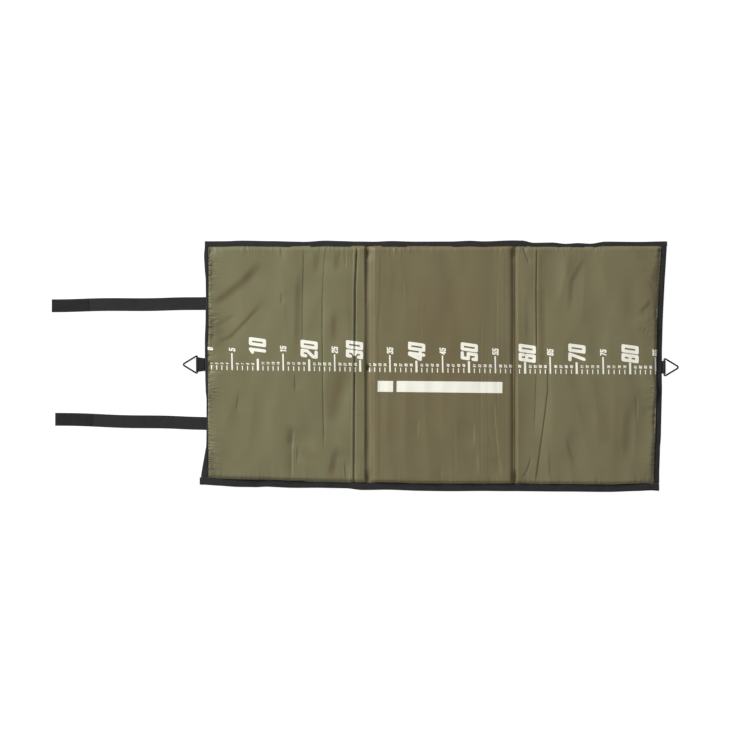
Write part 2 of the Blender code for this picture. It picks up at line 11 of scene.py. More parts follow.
import bpy
import numpy as np
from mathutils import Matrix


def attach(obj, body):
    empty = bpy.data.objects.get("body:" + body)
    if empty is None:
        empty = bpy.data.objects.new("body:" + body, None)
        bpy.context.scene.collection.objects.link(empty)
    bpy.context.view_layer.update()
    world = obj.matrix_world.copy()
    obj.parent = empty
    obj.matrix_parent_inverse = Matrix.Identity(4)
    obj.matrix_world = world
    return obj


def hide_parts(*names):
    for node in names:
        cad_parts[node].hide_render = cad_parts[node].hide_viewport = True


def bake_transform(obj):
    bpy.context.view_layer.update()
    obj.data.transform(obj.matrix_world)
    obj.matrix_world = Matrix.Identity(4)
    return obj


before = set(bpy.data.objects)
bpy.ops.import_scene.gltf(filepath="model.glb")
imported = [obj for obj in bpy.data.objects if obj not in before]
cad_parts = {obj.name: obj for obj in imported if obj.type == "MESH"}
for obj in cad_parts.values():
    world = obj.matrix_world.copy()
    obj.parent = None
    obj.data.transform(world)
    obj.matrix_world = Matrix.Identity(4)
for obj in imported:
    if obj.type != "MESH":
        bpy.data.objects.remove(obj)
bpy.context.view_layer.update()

# %% [markdown]
# The photograph looks straight down on the mat, so one pixel has one size in metres all over it. The ruler
# that is printed on the mat gives that size. Places read from the photograph go through one function.

# %% Pixels to metres
PIXEL = 0.001923
PHOTO_SIDE = 732
MIDDLE_PX = (440.75, 365.75)


def at_px(px, py):
    """X and Y in metres of a pixel of the photograph."""
    return (np.asarray(px) - MIDDLE_PX[0]) * PIXEL, (MIDDLE_PX[1] - np.asarray(py)) * PIXEL


# %% [markdown]
# The camera hangs high above the mat with a long lens, so the view is almost without perspective, like the
# photograph. The frame is square, and its middle is the middle of the picture.

# %% Camera
FOCUS_Z = 0.006
LENS = 200.0
SENSOR = 36.0
view_width = PHOTO_SIDE * PIXEL
camera_x, camera_y = at_px(PHOTO_SIDE / 2, PHOTO_SIDE / 2)
camera_data = bpy.data.cameras.new("camera")
camera_data.lens = LENS
camera_data.sensor_width = SENSOR
camera = bpy.data.objects.new("camera", camera_data)
camera.location = (float(camera_x), float(camera_y), FOCUS_Z + view_width * LENS / SENSOR)
bpy.context.scene.collection.objects.link(camera)
bpy.context.scene.camera = camera
camera_data.clip_end = 50
print("camera height", round(camera.location.z, 3))

# %% [markdown]
# The outline of the mat is the one that the CAD model has: nearly straight sides, a little fuller or slimmer
# between their corners, and a flare at one corner where the tape spreads. Sewn edges also wander in and out
# by up to four millimetres where the cloth was gathered, so each side gets a slow wander through a table.

# %% Sizes that the frame was built to
SEAM_X = 0.1428
LEFT_END = -0.4543
RIGHT_BACK = 0.4342
RIGHT_LEAN = 0.0145
RIGHT_FRONT = RIGHT_BACK - RIGHT_LEAN
BACK = 0.2393
FRONT = 0.2405
DEPTH = BACK + FRONT
FRONT_BULGE, BACK_BULGE, END_PULL = 0.0015, -0.0003, 0.0025
FLARE_START, FLARE_LONG, FLARE_OUT = 0.0865, 0.075, 0.012
STITCH_HALF = 0.0012
TAPE_LEAF = {"right": 0.0100, "back": 0.0100, "front": 0.0145}
TAPE = 0.0008
COVER = 0.0006
WEBBING = 0.0012
GAP = 0.0003
EDGE_IN = TAPE + GAP  # the cloth ends this far inside the mat's edge, under the tape's back
LEAF_LOW = 0.0015  # the tape's lowest and highest faces
LEAF_TOP = 0.0052
HEM_LIFT = 0.0026  # height of the underside at the hem
SEWN = 0.0015  # height of the cloth above that, where it is sewn
HEM_CLEAR = 0.0006

# Places along each side, in pixels, and how far outwards the side wanders there, in millimetres.
WANDER_BACK = {
    206: 0.4, 224: 0.6, 242: 1.8, 272: 1.0, 296: 0.0, 304: -0.4, 326: 1.8, 340: 1.0, 356: 0.0, 374: -0.4,
    392: 1.0, 414: 0.0, 450: 0.2, 470: 1.6, 484: 0.4, 512: 2.0, 522: 1.8, 534: -2.4, 552: -1.8, 566: -4.2,
    578: -2.8, 590: -4.0, 606: 0.0, 640: -0.6, 664: 0.2,
}
WANDER_FRONT = {
    204: 0.0, 218: 0.6, 236: 1.4, 254: 0.6, 268: -1.2, 290: -0.6, 322: -2.0, 346: -2.0, 362: 0.8, 390: -0.8,
    420: 0.2, 450: 0.4, 480: 0.0, 510: 0.8, 545: 0.6, 570: 0.4, 610: 1.0, 636: -0.2, 652: -1.0, 658: 0.0,
}
WANDER_LEFT = {
    244: -0.4, 256: 1.6, 268: 0.8, 280: -0.8, 296: -0.8, 316: 0.2, 342: 2.0, 360: 2.0, 378: 1.2, 390: 0.4,
    400: -1.4, 436: -1.8, 470: -1.6, 484: -2.4,
}
WANDER_RIGHT = {
    244: 1.4, 258: 1.0, 284: 0.2, 318: -0.2, 346: 0.2, 372: 1.4, 392: 2.6, 436: 2.4, 450: 1.0, 474: 0.4,
    486: 0.6,
}


def smooth(share):
    """A ramp from 0 to 1 with level ends."""
    share = np.clip(share, 0, 1)
    return share * share * (3 - 2 * share)


def wander(table, position):
    """A smooth ramp from each value of a table to the next, in metres."""
    places, values = np.array(list(table), float), np.array(list(table.values())) * 0.001
    k = np.clip(np.searchsorted(places, position) - 1, 0, len(places) - 2)
    share = smooth((position - places[k]) / (places[k + 1] - places[k]))
    return values[k] * (1 - share) + values[k + 1] * share


def column_px(x):
    """The photograph's pixel column at x."""
    return MIDDLE_PX[0] + np.asarray(x, float) / PIXEL


def row_px(y):
    """The photograph's pixel row at y."""
    return MIDDLE_PX[1] - np.asarray(y, float) / PIXEL


def between_posts(x):
    """A share that is 0 at corners and seams and 1 half way between them: a half sine."""
    posts = (LEFT_END, -SEAM_X, SEAM_X, RIGHT_BACK)
    return np.abs(np.sin(np.pi * np.interp(x, posts, range(len(posts)))))


def depth_share(y):
    """How far y is from the front edge, as a share of the depth."""
    return (np.asarray(y) + FRONT) / DEPTH


def edge_front(x):
    """Y of the front edge: straight between four posts, plus the bulge and the wander."""
    straight = np.interp(x, (LEFT_END, -SEAM_X, SEAM_X), (FRONT - 0.0115, FRONT - 0.002, FRONT))
    return -straight - FRONT_BULGE * between_posts(x) - wander(WANDER_FRONT, column_px(x))


def edge_back(x):
    """Y of the back edge."""
    return BACK + BACK_BULGE * between_posts(x) + wander(WANDER_BACK, column_px(x))


def edge_left(y):
    """X of the left end: a half sine, a straight flare near the front corner, and the wander."""
    flare = np.clip((FLARE_START - FRONT - np.asarray(y)) / FLARE_LONG, 0, 1)
    plain = LEFT_END + END_PULL * np.sin(np.pi * depth_share(y)) - FLARE_OUT * flare
    return plain - wander(WANDER_LEFT, row_px(y))


def edge_right(y):
    """X of the right end: it leans in towards the front."""
    plain = RIGHT_FRONT + RIGHT_LEAN * depth_share(y) - END_PULL * np.sin(np.pi * depth_share(y))
    return plain + wander(WANDER_RIGHT, row_px(y))


def leaf_at(side, x):
    """Width of the tape along a long side: wider where the side wanders out, so its inner line is calm."""
    table = WANDER_FRONT if side == "front" else WANDER_BACK
    return TAPE_LEAF[side] + 0.8 * wander(table, column_px(x))


def rolled_over(y):
    """1 where the cover bulges over the left tape and hides most of it, 0 elsewhere."""
    row = row_px(y)
    return smooth((row - 330) / 14) * smooth((452 - row) / 12)


LEFT_TAPE_INSIDE = float(at_px(208.2, 0)[0])


def left_leaf(y):
    """Width of the tape at the left end: its inner line is straight, and the cover rolls over its middle."""
    return np.clip(LEFT_TAPE_INSIDE - edge_left(y) - 0.0012 * rolled_over(y), 0.0012, 0.02)


PANELS = {
    "left": (edge_left, lambda y: -SEAM_X - STITCH_HALF + 0 * y, "left", None),
    "middle": (lambda y: STITCH_HALF - SEAM_X + 0 * y, lambda y: SEAM_X - STITCH_HALF + 0 * y, None, None),
    "right": (lambda y: SEAM_X + STITCH_HALF + 0 * y, edge_right, None, "right"),
}
print("mat is", round(RIGHT_BACK - LEFT_END, 3), "by", round(DEPTH, 3), "m")

# %% [markdown]
# A mesh made from arrays needs faces too. A grid of points gives its quads by index arithmetic alone. Two
# grids, one over the other, close into a sheet with a thickness once a rim of quads joins their borders, and
# rings of points, one after the other, join into a tube.

# %% From arrays to meshes
def grid_quads(rows, columns, start=0, flip=False):
    """Quads between neighbours of a grid: (i, j), (i+1, j), (i+1, j+1), (i, j+1)."""
    index = start + np.arange(rows * columns).reshape(rows, columns)
    quads = np.stack([index[:-1, :-1], index[1:, :-1], index[1:, 1:], index[:-1, 1:]], -1).reshape(-1, 4)
    return quads[:, ::-1] if flip else quads


def border(rows, columns):
    """Indices round the edge of a grid, anticlockwise."""
    index = np.arange(rows * columns).reshape(rows, columns)
    return np.concatenate([index[:, 0], index[-1, 1:], index[-2::-1, -1], index[0, -2:0:-1]])


def lattice(u, v):
    """Two grids that hold every pair of a value of u and a value of v."""
    return np.meshgrid(u, v, indexing="ij")


def xyz(x, y, z):
    """Points from three arrays or numbers."""
    return np.stack(np.broadcast_arrays(x, y, z), -1)


def unit(vectors):
    """The same directions with a length of one."""
    return vectors / np.linalg.norm(vectors, axis=-1, keepdims=True)


def distances(path):
    """Distance along a path to each of its points."""
    return np.concatenate([[0], np.cumsum(np.linalg.norm(np.diff(path, axis=0), axis=1))])


def tube(rings):
    """Points, quads and both end faces of a tube, from its rings of points."""
    rows, count = rings.shape[:2]
    index = np.arange(rows * count).reshape(rows, count)
    after = np.roll(index, -1, axis=1)
    quads = np.stack([index[:-1], index[1:], after[1:], after[:-1]], -1).reshape(-1, 4)
    return rings.reshape(-1, 3), quads, (index[0], index[-1][::-1])


def closed_sheet(upper, lower):
    """Points and quads of a closed sheet between two grids of points."""
    rows, columns = upper.shape[:2]
    count = rows * columns
    edge = border(rows, columns)
    after = np.roll(edge, -1)
    rim = np.stack([edge, edge + count, after + count, after], -1)
    faces = np.concatenate([grid_quads(rows, columns), grid_quads(rows, columns, count, True), rim])
    return np.concatenate([upper.reshape(-1, 3), lower.reshape(-1, 3)]), faces


def solid(name, points, faces, material, smooth_deg, ends=(), **attributes):
    """A mesh object at the origin. Its faces point outwards: a negative volume is turned round."""
    mesh = bpy.data.meshes.new(name)
    mesh.from_pydata(points.tolist(), [], faces.tolist() + [list(map(int, end)) for end in ends])
    mesh.calc_loop_triangles()
    triangles = np.zeros(len(mesh.loop_triangles) * 3, np.int32)
    mesh.loop_triangles.foreach_get("vertices", triangles)
    a, b, c = (points[triangles.reshape(-1, 3)[:, k]] for k in range(3))
    if np.einsum("ij,ij->i", a, np.cross(b, c)).sum() < 0:
        mesh.flip_normals()
    for key, values in attributes.items():
        kind = "FLOAT" if values.ndim == 1 else "FLOAT_VECTOR"
        layer = mesh.attributes.new(key, kind, "POINT")
        layer.data.foreach_set("value" if kind == "FLOAT" else "vector", values.astype(np.float32).ravel())
    mesh.materials.append(material)
    mesh.shade_smooth()
    mesh.set_sharp_from_angle(angle=math.radians(smooth_deg))
    piece = bpy.data.objects.new(name, mesh)
    bpy.context.scene.collection.objects.link(piece)
    print(name, len(mesh.vertices), "points,", len(triangles) // 3, "triangles")
    return piece


def assign(piece, slot, *nodes):
    """The piece stands for the named solids, if any, which are hidden. slot is not used."""
    if nodes:
        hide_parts(*nodes)


def wear(piece, body, slot, *nodes):
    """The piece rides on one body and stands for solids as above. slot is not used."""
    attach(piece, body)
    assign(piece, slot, *nodes)


def bend(piece, first, second, start_x, end_x, slot, *nodes):
    """The piece's transform is baked into its mesh, and it stands for solids as above. first, second,
    start_x, end_x and slot are not used.
    """
    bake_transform(piece)
    assign(piece, slot, *nodes)


# %% [markdown]
# Shader maths reads best as plain Python. One small class wraps a socket, and its operators add Math nodes.
# A method of the second class makes any other node from its type, its settings and the values of its sockets.

# %% Shader maths
class Wire:
    """A number somewhere in a shader."""

    def __init__(self, shader, socket):
        self.shader = shader
        self.socket = socket

    def math(self, operation, *others):
        """A Math node on this value and others."""
        return self.shader.node("ShaderNodeMath", {"operation": operation}, dict(enumerate((self, *others))))

    def __add__(self, other):
        return self.math("ADD", other)

    def __sub__(self, other):
        return self.math("SUBTRACT", other)

    def __rsub__(self, other):
        return (self * -1) + other

    def __mul__(self, other):
        return self.math("MULTIPLY", other)

    __radd__ = __add__
    __rmul__ = __mul__


class Shader:
    """One material with a Principled shader."""

    def __init__(self, name, roughness, **constants):
        self.material = bpy.data.materials.new(name)
        self.material.use_nodes = True
        self.tree = self.material.node_tree
        self.principled = self.tree.nodes["Principled BSDF"]
        self.principled.inputs["Roughness"].default_value = roughness
        for key, value in constants.items():
            self.principled.inputs[key.replace("_", " ")].default_value = value

    def put(self, socket, value):
        """Link a value to a socket, or set the socket to it."""
        if isinstance(value, Wire):
            self.tree.links.new(value.socket, socket)
        else:
            socket.default_value = value

    def make(self, kind, settings=None, values=None):
        """Any node: its settings first, then its sockets by name or number."""
        made = self.tree.nodes.new(kind)
        for key, value in (settings or {}).items():
            setattr(made, key, value)
        for key, value in (values or {}).items():
            self.put(made.inputs[key], value)
        return made

    def node(self, kind, settings=None, values=None, output=0):
        """One output of a new node."""
        return Wire(self, self.make(kind, settings, values).outputs[output])

    def place(self):
        """Object coordinates, in metres."""
        return self.node("ShaderNodeTexCoord", output="Object")

    def layer(self, name, output="Vector"):
        """An attribute of the mesh."""
        return self.node("ShaderNodeAttribute", {"attribute_name": name}, output=output)

    def split(self, vector):
        """X, Y and Z of a vector."""
        made = self.make("ShaderNodeSeparateXYZ", values={0: vector})
        return [Wire(self, socket) for socket in made.outputs]

    def noise(self, vector, scale, detail):
        """Soft noise from 0 to 1."""
        return self.node("ShaderNodeTexNoise", values={"Vector": vector, "Scale": scale, "Detail": detail})

    def mix(self, factor, first, second):
        """A colour between two."""
        first, second = (value if isinstance(value, Wire) else (*value, 1.0) for value in (first, second))
        return self.node("ShaderNodeMix", {"data_type": "RGBA"}, {0: factor, 6: first, 7: second}, 2)

    def ribs(self, value, pitch):
        """A wave from -1 to 1 that repeats each pitch."""
        return (value * (2 * math.pi / pitch)).math("SINE")

    def finish(self, colour, roughness=None, height=None, bump=None, distance=None):
        """Join colour, roughness and relief to the shader."""
        self.put(self.principled.inputs["Base Color"], colour)
        if roughness is not None:
            self.put(self.principled.inputs["Roughness"], roughness)
        if height is not None:
            values = {"Strength": bump, "Distance": distance, "Height": height}
            self.put(self.principled.inputs["Normal"], self.node("ShaderNodeBump", values=values))
        return self.material


# %% [markdown]
# The covers are thin coated nylon: a tight plain weave with a satin gleam. Its olive leans to a darker brown
# where an attribute on the cover says so point by point: the cloth's own warmer tone on the middle and right
# panels and at the middle of the mat, browner beside the seams, and painted shade in soft patches over the
# broad crease shades. Two crossed waves at the thread pitch give the weave, and soft noise gives the slight
# mottling of a coating. Along the sewn edges the cloth is gathered: the absolute value of a drawn-out noise
# makes sharp little folds there, where two more attributes ask for them. These two also mix in a darker,
# greyer olive there: painted shade over the edge shoulders that the key lamp lights.

# %% Cover cloth
THREAD_PITCH = 0.0011


def cover_cloth(name, green, brown, roughness):
    """Coated plain-weave nylon. An attribute on the mesh runs from 0, greenish, to 1, a darker brown: partly
    the cloth's own tone, partly painted shade.
    """
    shader = Shader(name, roughness, Sheen_Weight=0.04, Sheen_Roughness=0.4, Specular_IOR_Level=0.26)
    place = shader.place()
    x, y, _ = shader.split(place)
    mottle = shader.noise(place, 24.0, 4.0)
    grain = shader.noise(place, 900.0, 2.0)
    colour = shader.mix(shader.layer("warm", "Fac") + (mottle - 0.5) * 0.8, green, brown)
    dark = tuple(0.78 * v for v in green)
    # Painted shade: a darker, greyer olive that the edge masks mix in, where the shoulders lit by the key
    # lamp would show as a bright strip.
    worn = tuple(0.55 * v + 0.012 for v in green)
    colour = shader.mix((grain - 0.35) * 0.22, colour, dark)
    weave = shader.ribs(x, THREAD_PITCH) * shader.ribs(y, THREAD_PITCH)
    height = weave * 0.5 + grain * 0.8 + mottle * 0.8
    for mask, across, along in (("end_folds", x, y), ("side_folds", y, x)):
        drawn_out = shader.node("ShaderNodeCombineXYZ", values={0: across * 0.30 + along * 0.35, 1: along})
        folds = (shader.noise(drawn_out, 110.0, 2.0) - 0.5).math("ABSOLUTE")
        height = height + folds * shader.layer(mask, "Fac") * 240.0
        # Painted shade near the edges, under the same masks as the folds.
        colour = shader.mix(shader.layer(mask, "Fac") * 0.45, colour, worn)
    return shader.finish(colour, mottle * 0.12 + (roughness - 0.06), height, 1.0, 0.00004)


olive = cover_cloth("olive_coated_nylon", (0.157, 0.146, 0.076), (0.141, 0.114, 0.057), 0.50)
under = cover_cloth("underside_coated_nylon", (0.028, 0.029, 0.021), (0.038, 0.034, 0.026), 0.60)

# %% [markdown]
# Edge tape and webbing are woven in one direction, so their pattern has to follow the piece. Each such piece
# carries an attribute with the distance along it and across it, and the ribs are waves of those distances.

# %% Tape, webbing and thread
BLACK = (0.007, 0.007, 0.008)


def woven(name, light, pitch, across_pitch, roughness, bump):
    """A narrow black woven band. Ribs cross it at one pitch, and warp threads run along it at another."""
    shader = Shader(name, roughness, Sheen_Weight=0.06, Sheen_Roughness=0.5, Specular_IOR_Level=0.16)
    along, across, _ = shader.split(shader.layer("weave"))
    rib = shader.ribs(along, pitch)
    warp = shader.ribs(across, across_pitch)
    dust = shader.noise(shader.place(), 60.0, 5.0)
    fibre = shader.noise(shader.place(), 1500.0, 2.0)
    height = rib * warp * 0.5 + warp * 0.3 + fibre * 0.6
    tint = (rib * warp) * 0.20 + fibre * 0.35 + dust * 0.35
    rough = dust * 0.15 + (roughness - 0.07)
    return shader.finish(shader.mix(tint, BLACK, light), rough, height, bump, 0.0003)


tape_cloth = woven("black_binding_tape", (0.043, 0.042, 0.044), 0.0012, 0.0016, 0.66, 0.5)
webbing_cloth = woven("black_webbing", (0.040, 0.040, 0.041), 0.0022, 0.0025, 0.68, 0.6)


def thread_finish(name, colour):
    """Twisted sewing thread: fine noise in colour and relief."""
    shader = Shader(name, 0.6, Sheen_Weight=0.2)
    twist = shader.noise(shader.place(), 2500.0, 1.0)
    light = tuple(1.8 * v for v in colour)
    return shader.finish(shader.mix(twist, colour, light), None, twist, 0.4, 0.0001)


black_thread = thread_finish("black_thread", (0.012, 0.012, 0.012))
olive_thread = thread_finish("olive_thread", (0.060, 0.052, 0.030))

# %% [markdown]
# Five more finishes: the printed ink, which lets a little cloth grain through; hook and loop tape; the foam
# inside, with its cells; and the dark coating of the wire rings.

# %% Other finishes
def ink_finish():
    """Screen ink: cream, matt, with faint thin spots."""
    shader = Shader("cream_screen_ink", 0.55, Specular_IOR_Level=0.35)
    place = shader.place()
    x, y, _ = shader.split(place)
    thin = shader.noise(place, 260.0, 4.0)
    colour = shader.mix((thin - 0.45) * 0.55, (0.80, 0.79, 0.69), (0.60, 0.58, 0.47))
    weave = shader.ribs(x, THREAD_PITCH) * shader.ribs(y, THREAD_PITCH)
    return shader.finish(colour, None, weave + thin, 0.12, 0.0002)


def hook_finish():
    """Stiff black hooks: plastic with a low gleam."""
    shader = Shader("black_hooks", 0.45, Specular_IOR_Level=0.4)
    worn = shader.noise(shader.place(), 400.0, 3.0)
    return shader.finish(shader.mix(worn, (0.006, 0.006, 0.006), (0.022, 0.022, 0.022)), worn * 0.2 + 0.35)


def loop_finish():
    """Brushed loops: a matt fuzz of fine noise."""
    shader = Shader("black_loops", 0.95, Sheen_Weight=0.5, Sheen_Roughness=0.6)
    fuzz = shader.noise(shader.place(), 1100.0, 5.0)
    colour = shader.mix(fuzz, (0.006, 0.006, 0.006), (0.040, 0.040, 0.041))
    return shader.finish(colour, None, fuzz, 0.9, 0.0008)


def foam_finish():
    """Closed-cell foam: small cells as rounded dents."""
    shader = Shader("grey_closed_cell_foam", 0.85)
    place = shader.place()
    cells = shader.node("ShaderNodeTexVoronoi", values={"Vector": place, "Scale": 900.0}, output="Distance")
    tone = shader.noise(place, 30.0, 3.0)
    return shader.finish(shader.mix(tone, (0.20, 0.21, 0.22), (0.32, 0.33, 0.34)), None, cells, 0.5, 0.0004)


def wire_finish():
    """Black coated steel wire: smooth, with worn spots that show a little metal."""
    shader = Shader("black_coated_wire", 0.5, Specular_IOR_Level=0.15)
    worn = shader.noise(shader.place(), 700.0, 5.0)
    spots = ((worn - 0.70) * 6.0).math("MINIMUM", 1.0).math("MAXIMUM", 0.0)
    shader.put(shader.principled.inputs["Metallic"], spots * 0.8)
    return shader.finish(shader.mix(spots, BLACK, (0.16, 0.16, 0.17)), worn * 0.2 + 0.40, worn, 0.15, 0.0001)


ink, hooks_mat, loops_mat = ink_finish(), hook_finish(), loop_finish()
foam_mat, wire_mat = foam_finish(), wire_finish()
print("finishes", len(bpy.data.materials))

# %% [markdown]
# A padded panel is a cushion with a low crown. Its height over the hem is multiplied by one rounded shoulder
# for each side. The cloth is pulled over the foam, so these shoulders are narrow, narrower than those of the
# plain solid. At the folds the seam hangs between two pads, well above the ground. The right end has sunk in
# places, where its shoulder is wider.

# %% Shape of a padded panel
PAD_EDGE = 0.0135
CROWN = 0.0025
SHOULDER = 0.0042
# Shoulder widths at the left and the right of each panel.
END_SHOULDERS = {"left": (SHOULDER, 0.0032), "middle": (0.0150, 0.0088), "right": (0.0045, SHOULDER)}
# Pixel rows at the right end, and how much wider its shoulder is there, in millimetres.
SUNK_END = {
    244: 4.0, 262: 10.0, 282: 15.0, 305: 10.0, 322: 3.0, 345: 3.0, 372: 5.0, 392: 1.0, 410: 6.0, 430: 5.0,
    480: 4.0, 486: 0.0,
}
SEAM_SHARE = 0.53
RING_RESTS_Y = -0.0029
DIMPLE_HALF, DIMPLE_RAMP = 0.0020, 0.0052
CURVE = 0.015


def rounded(share):
    """A quarter of an ellipse from 0 to 1."""
    return np.sqrt(1 - (1 - np.clip(share, 0, 1)) ** 2)


def side_distances(name, x, y):
    """Distance to each side of a panel, where its padding starts, and whether that side has tape."""
    low, high, low_tape, high_tape = PANELS[name]
    sides = [(y - edge_front(x) - leaf_at("front", x) - HEM_CLEAR, True)]
    sides.append((edge_back(x) - y - leaf_at("back", x) - HEM_CLEAR, True))
    for distance, tape in ((x - low(y), low_tape), (high(y) - x, high_tape)):
        leaf = left_leaf(y) if tape == "left" else TAPE_LEAF[tape] if tape else 0.0
        sides.append((distance - leaf - (HEM_CLEAR if tape else 0.0), tape is not None))
    return sides


def hem_level(name, x, y):
    """Z of the underside: on the ground, and curved up to the hem along taped sides."""
    level = 1.0
    for distance, taped in side_distances(name, x, y):
        if taped:
            level = level * smooth(distance / CURVE)
    return HEM_LIFT * (1 - level)


def seam_share(x, y):
    """How high the cloth stays at a fold, as a share of the cushion: the seam hangs between the pads.
    The left one has a dimple, because the tip of the right ring comes down there when the mat is packed.
    """
    away = np.clip(np.abs(np.asarray(y) - RING_RESTS_Y) - DIMPLE_HALF, 0, None)
    dimple = np.where(np.asarray(x) < 0, smooth(away / DIMPLE_RAMP), 1)
    return SEAM_SHARE * dimple * smooth((BACK - 0.012 - y) / 0.03) * smooth((y + FRONT - 0.016) / 0.03)


def shoulder_widths(name, y):
    """Widths of the shoulders along the front, the back and both ends."""
    low, high = END_SHOULDERS[name]
    sunk = wander(SUNK_END, row_px(y)) if name == "right" else 0
    return SHOULDER, SHOULDER, low, high + sunk


def pad_top(name, x, y):
    """Z of a tight cover: the sewn edge, plus a share of the way from there up to the crown."""
    low, high = PANELS[name][:2]
    across = np.pi * np.clip((x - low(y)) / (high(y) - low(y)), 0, 1)
    crown = PAD_EDGE + CROWN * np.sin(across) * np.sin(np.pi * np.clip(depth_share(y), 0, 1))
    share = 1.0
    for (distance, taped), width in zip(side_distances(name, x, y), shoulder_widths(name, y)):
        if taped:
            share = share * rounded(distance / width)
        else:
            ramp = np.clip(distance / width, 0, 1)
            rise = 0.5 * (np.sin(np.pi / 2 * ramp) + ramp)
            hangs = seam_share(x, y)
            share = share * (hangs + (1 - hangs) * rise)
    base = hem_level(name, x, y) + SEWN
    return base + (crown - base) * share


print("crown at the middle", round(float(pad_top("middle", np.array(0.0), np.array(0.0))), 4))

# %% [markdown]
# Real cloth has a little slack over its foam. A coarse sheet of it lies over the pad with Cloth, cut one per
# cent wider and 0.3 per cent longer than the space that it covers, and its edge is pinned like a seam. It
# buckles into soft swells, mostly along the folds. Only the change in height is kept, without the
# broad bulge, and read back smoothly.

# %% Slack from a cloth simulation
SLACK_CELL = 0.008
SLACK_FRAMES = 24
SLACK_CAP = 0.0009
CUT_WIDER, CUT_LONGER = 1.010, 1.003
PAD_DROP = 0.0022  # the pad under the sheet is this much lower
SLACK = {}


def soften(field, times):
    """Average with the neighbours, in both directions, several times."""
    for _ in range(times):
        for axis in (0, 1):
            ends = np.concatenate([np.take(field, [0], axis), field, np.take(field, [-1], axis)], axis)
            count = field.shape[axis]
            before, after = (np.take(ends, range(k, k + count), axis) for k in (0, 2))
            field = 0.25 * before + 0.5 * field + 0.25 * after
    return field


def plain_object(name, points, faces):
    """A bare mesh object in the scene."""
    mesh = bpy.data.meshes.new(name)
    mesh.from_pydata(points.reshape(-1, 3).tolist(), [], faces.tolist())
    made = bpy.data.objects.new(name, mesh)
    bpy.context.scene.collection.objects.link(made)
    return made


def simulate_slack(name):
    """Change in height of a pinned, slightly too wide sheet after it settles, on a grid over the panel."""
    low, high = PANELS[name][:2]
    x_low, x_high = float(low(np.array(-0.1))), float(high(np.array(0.1)))
    columns, rows = round((x_high - x_low) / SLACK_CELL), round(DEPTH / SLACK_CELL)
    x, y = lattice(np.linspace(x_low, x_high, columns), np.linspace(-FRONT, BACK, rows))
    rest = pad_top(name, x, y)
    start = rest + 0.0004 * np.sin(95 * x + 12 * y + 0.4) + 0.0003 * np.sin(60 * x - 41 * y + 1.9)
    start = start + 0.0003 * np.sin(150 * x + 33 * y + 3.1) + 0.0003 * np.sin(30 * x + 85 * y + 0.9)
    faces = grid_quads(columns, rows)
    sheet = plain_object("slack", xyz(x, y, start), faces)
    block = plain_object("block", xyz(x, y, rest - PAD_DROP), faces)
    block.modifiers.new("rest", "COLLISION")
    block.collision.thickness_outer = 0.001
    sheet.shape_key_add(name="sewn")
    cut = sheet.shape_key_add(name="cut")
    wide = xyz(x.mean() + (x - x.mean()) * CUT_WIDER, y * CUT_LONGER, rest)
    cut.data.foreach_set("co", wide.astype(np.float32).ravel())
    pinned = sheet.vertex_groups.new(name="seam")
    pinned.add([int(k) for k in border(columns, rows)], 1.0, "REPLACE")
    cloth = sheet.modifiers.new("cloth", "CLOTH")
    settings = cloth.settings
    settings.quality = 12
    settings.mass = 0.12
    settings.tension_stiffness = settings.compression_stiffness = 200
    settings.shear_stiffness = 100
    settings.bending_stiffness = 300
    settings.vertex_group_mass = "seam"
    settings.rest_shape_key = cut
    settings.effector_weights.gravity = 0
    cloth.collision_settings.distance_min = 0.001
    cloth.point_cache.frame_end = SLACK_FRAMES
    for number in range(1, SLACK_FRAMES + 1):
        bpy.context.scene.frame_set(number)
    settled = sheet.evaluated_get(bpy.context.evaluated_depsgraph_get()).data
    flat = np.zeros(columns * rows * 3, np.float32)
    settled.vertices.foreach_get("co", flat)
    change = flat.reshape(-1, 3)[:, 2].reshape(columns, rows) - rest
    for made in (sheet, block):
        bpy.data.objects.remove(made)
    bpy.context.scene.frame_set(1)
    change = soften(change, 2) - soften(change, 60)
    print("slack", name, "from", round(float(change.min()), 5), "to", round(float(change.max()), 5))
    return x_low, x_high, SLACK_CAP * np.tanh(change / SLACK_CAP)


def spline_weight(distance):
    """Cubic B-spline: smooth, and zero beyond two cells."""
    d = np.abs(distance)
    near = 2 / 3 - d * d + d * d * d / 2
    far = (2 - d) ** 3 / 6
    return np.where(d < 1, near, np.where(d < 2, far, 0))


def slack_at(name, x, y):
    """The slack field at any point, by cubic B-spline weights over the nearest four by four values."""
    x_low, x_high, field = SLACK[name]
    columns, rows = field.shape
    u = np.clip((x - x_low) / (x_high - x_low), 0, 1) * (columns - 1)
    v = np.clip(depth_share(y), 0, 1) * (rows - 1)
    total = 0 * u
    for across in range(-1, 3):
        i = np.floor(u).astype(int) + across
        for along in range(-1, 3):
            j = np.floor(v).astype(int) + along
            weight = spline_weight(u - i) * spline_weight(v - j)
            total = total + weight * field[np.clip(i, 0, columns - 1), np.clip(j, 0, rows - 1)]
    return total


for panel in PANELS:
    SLACK[panel] = simulate_slack(panel)
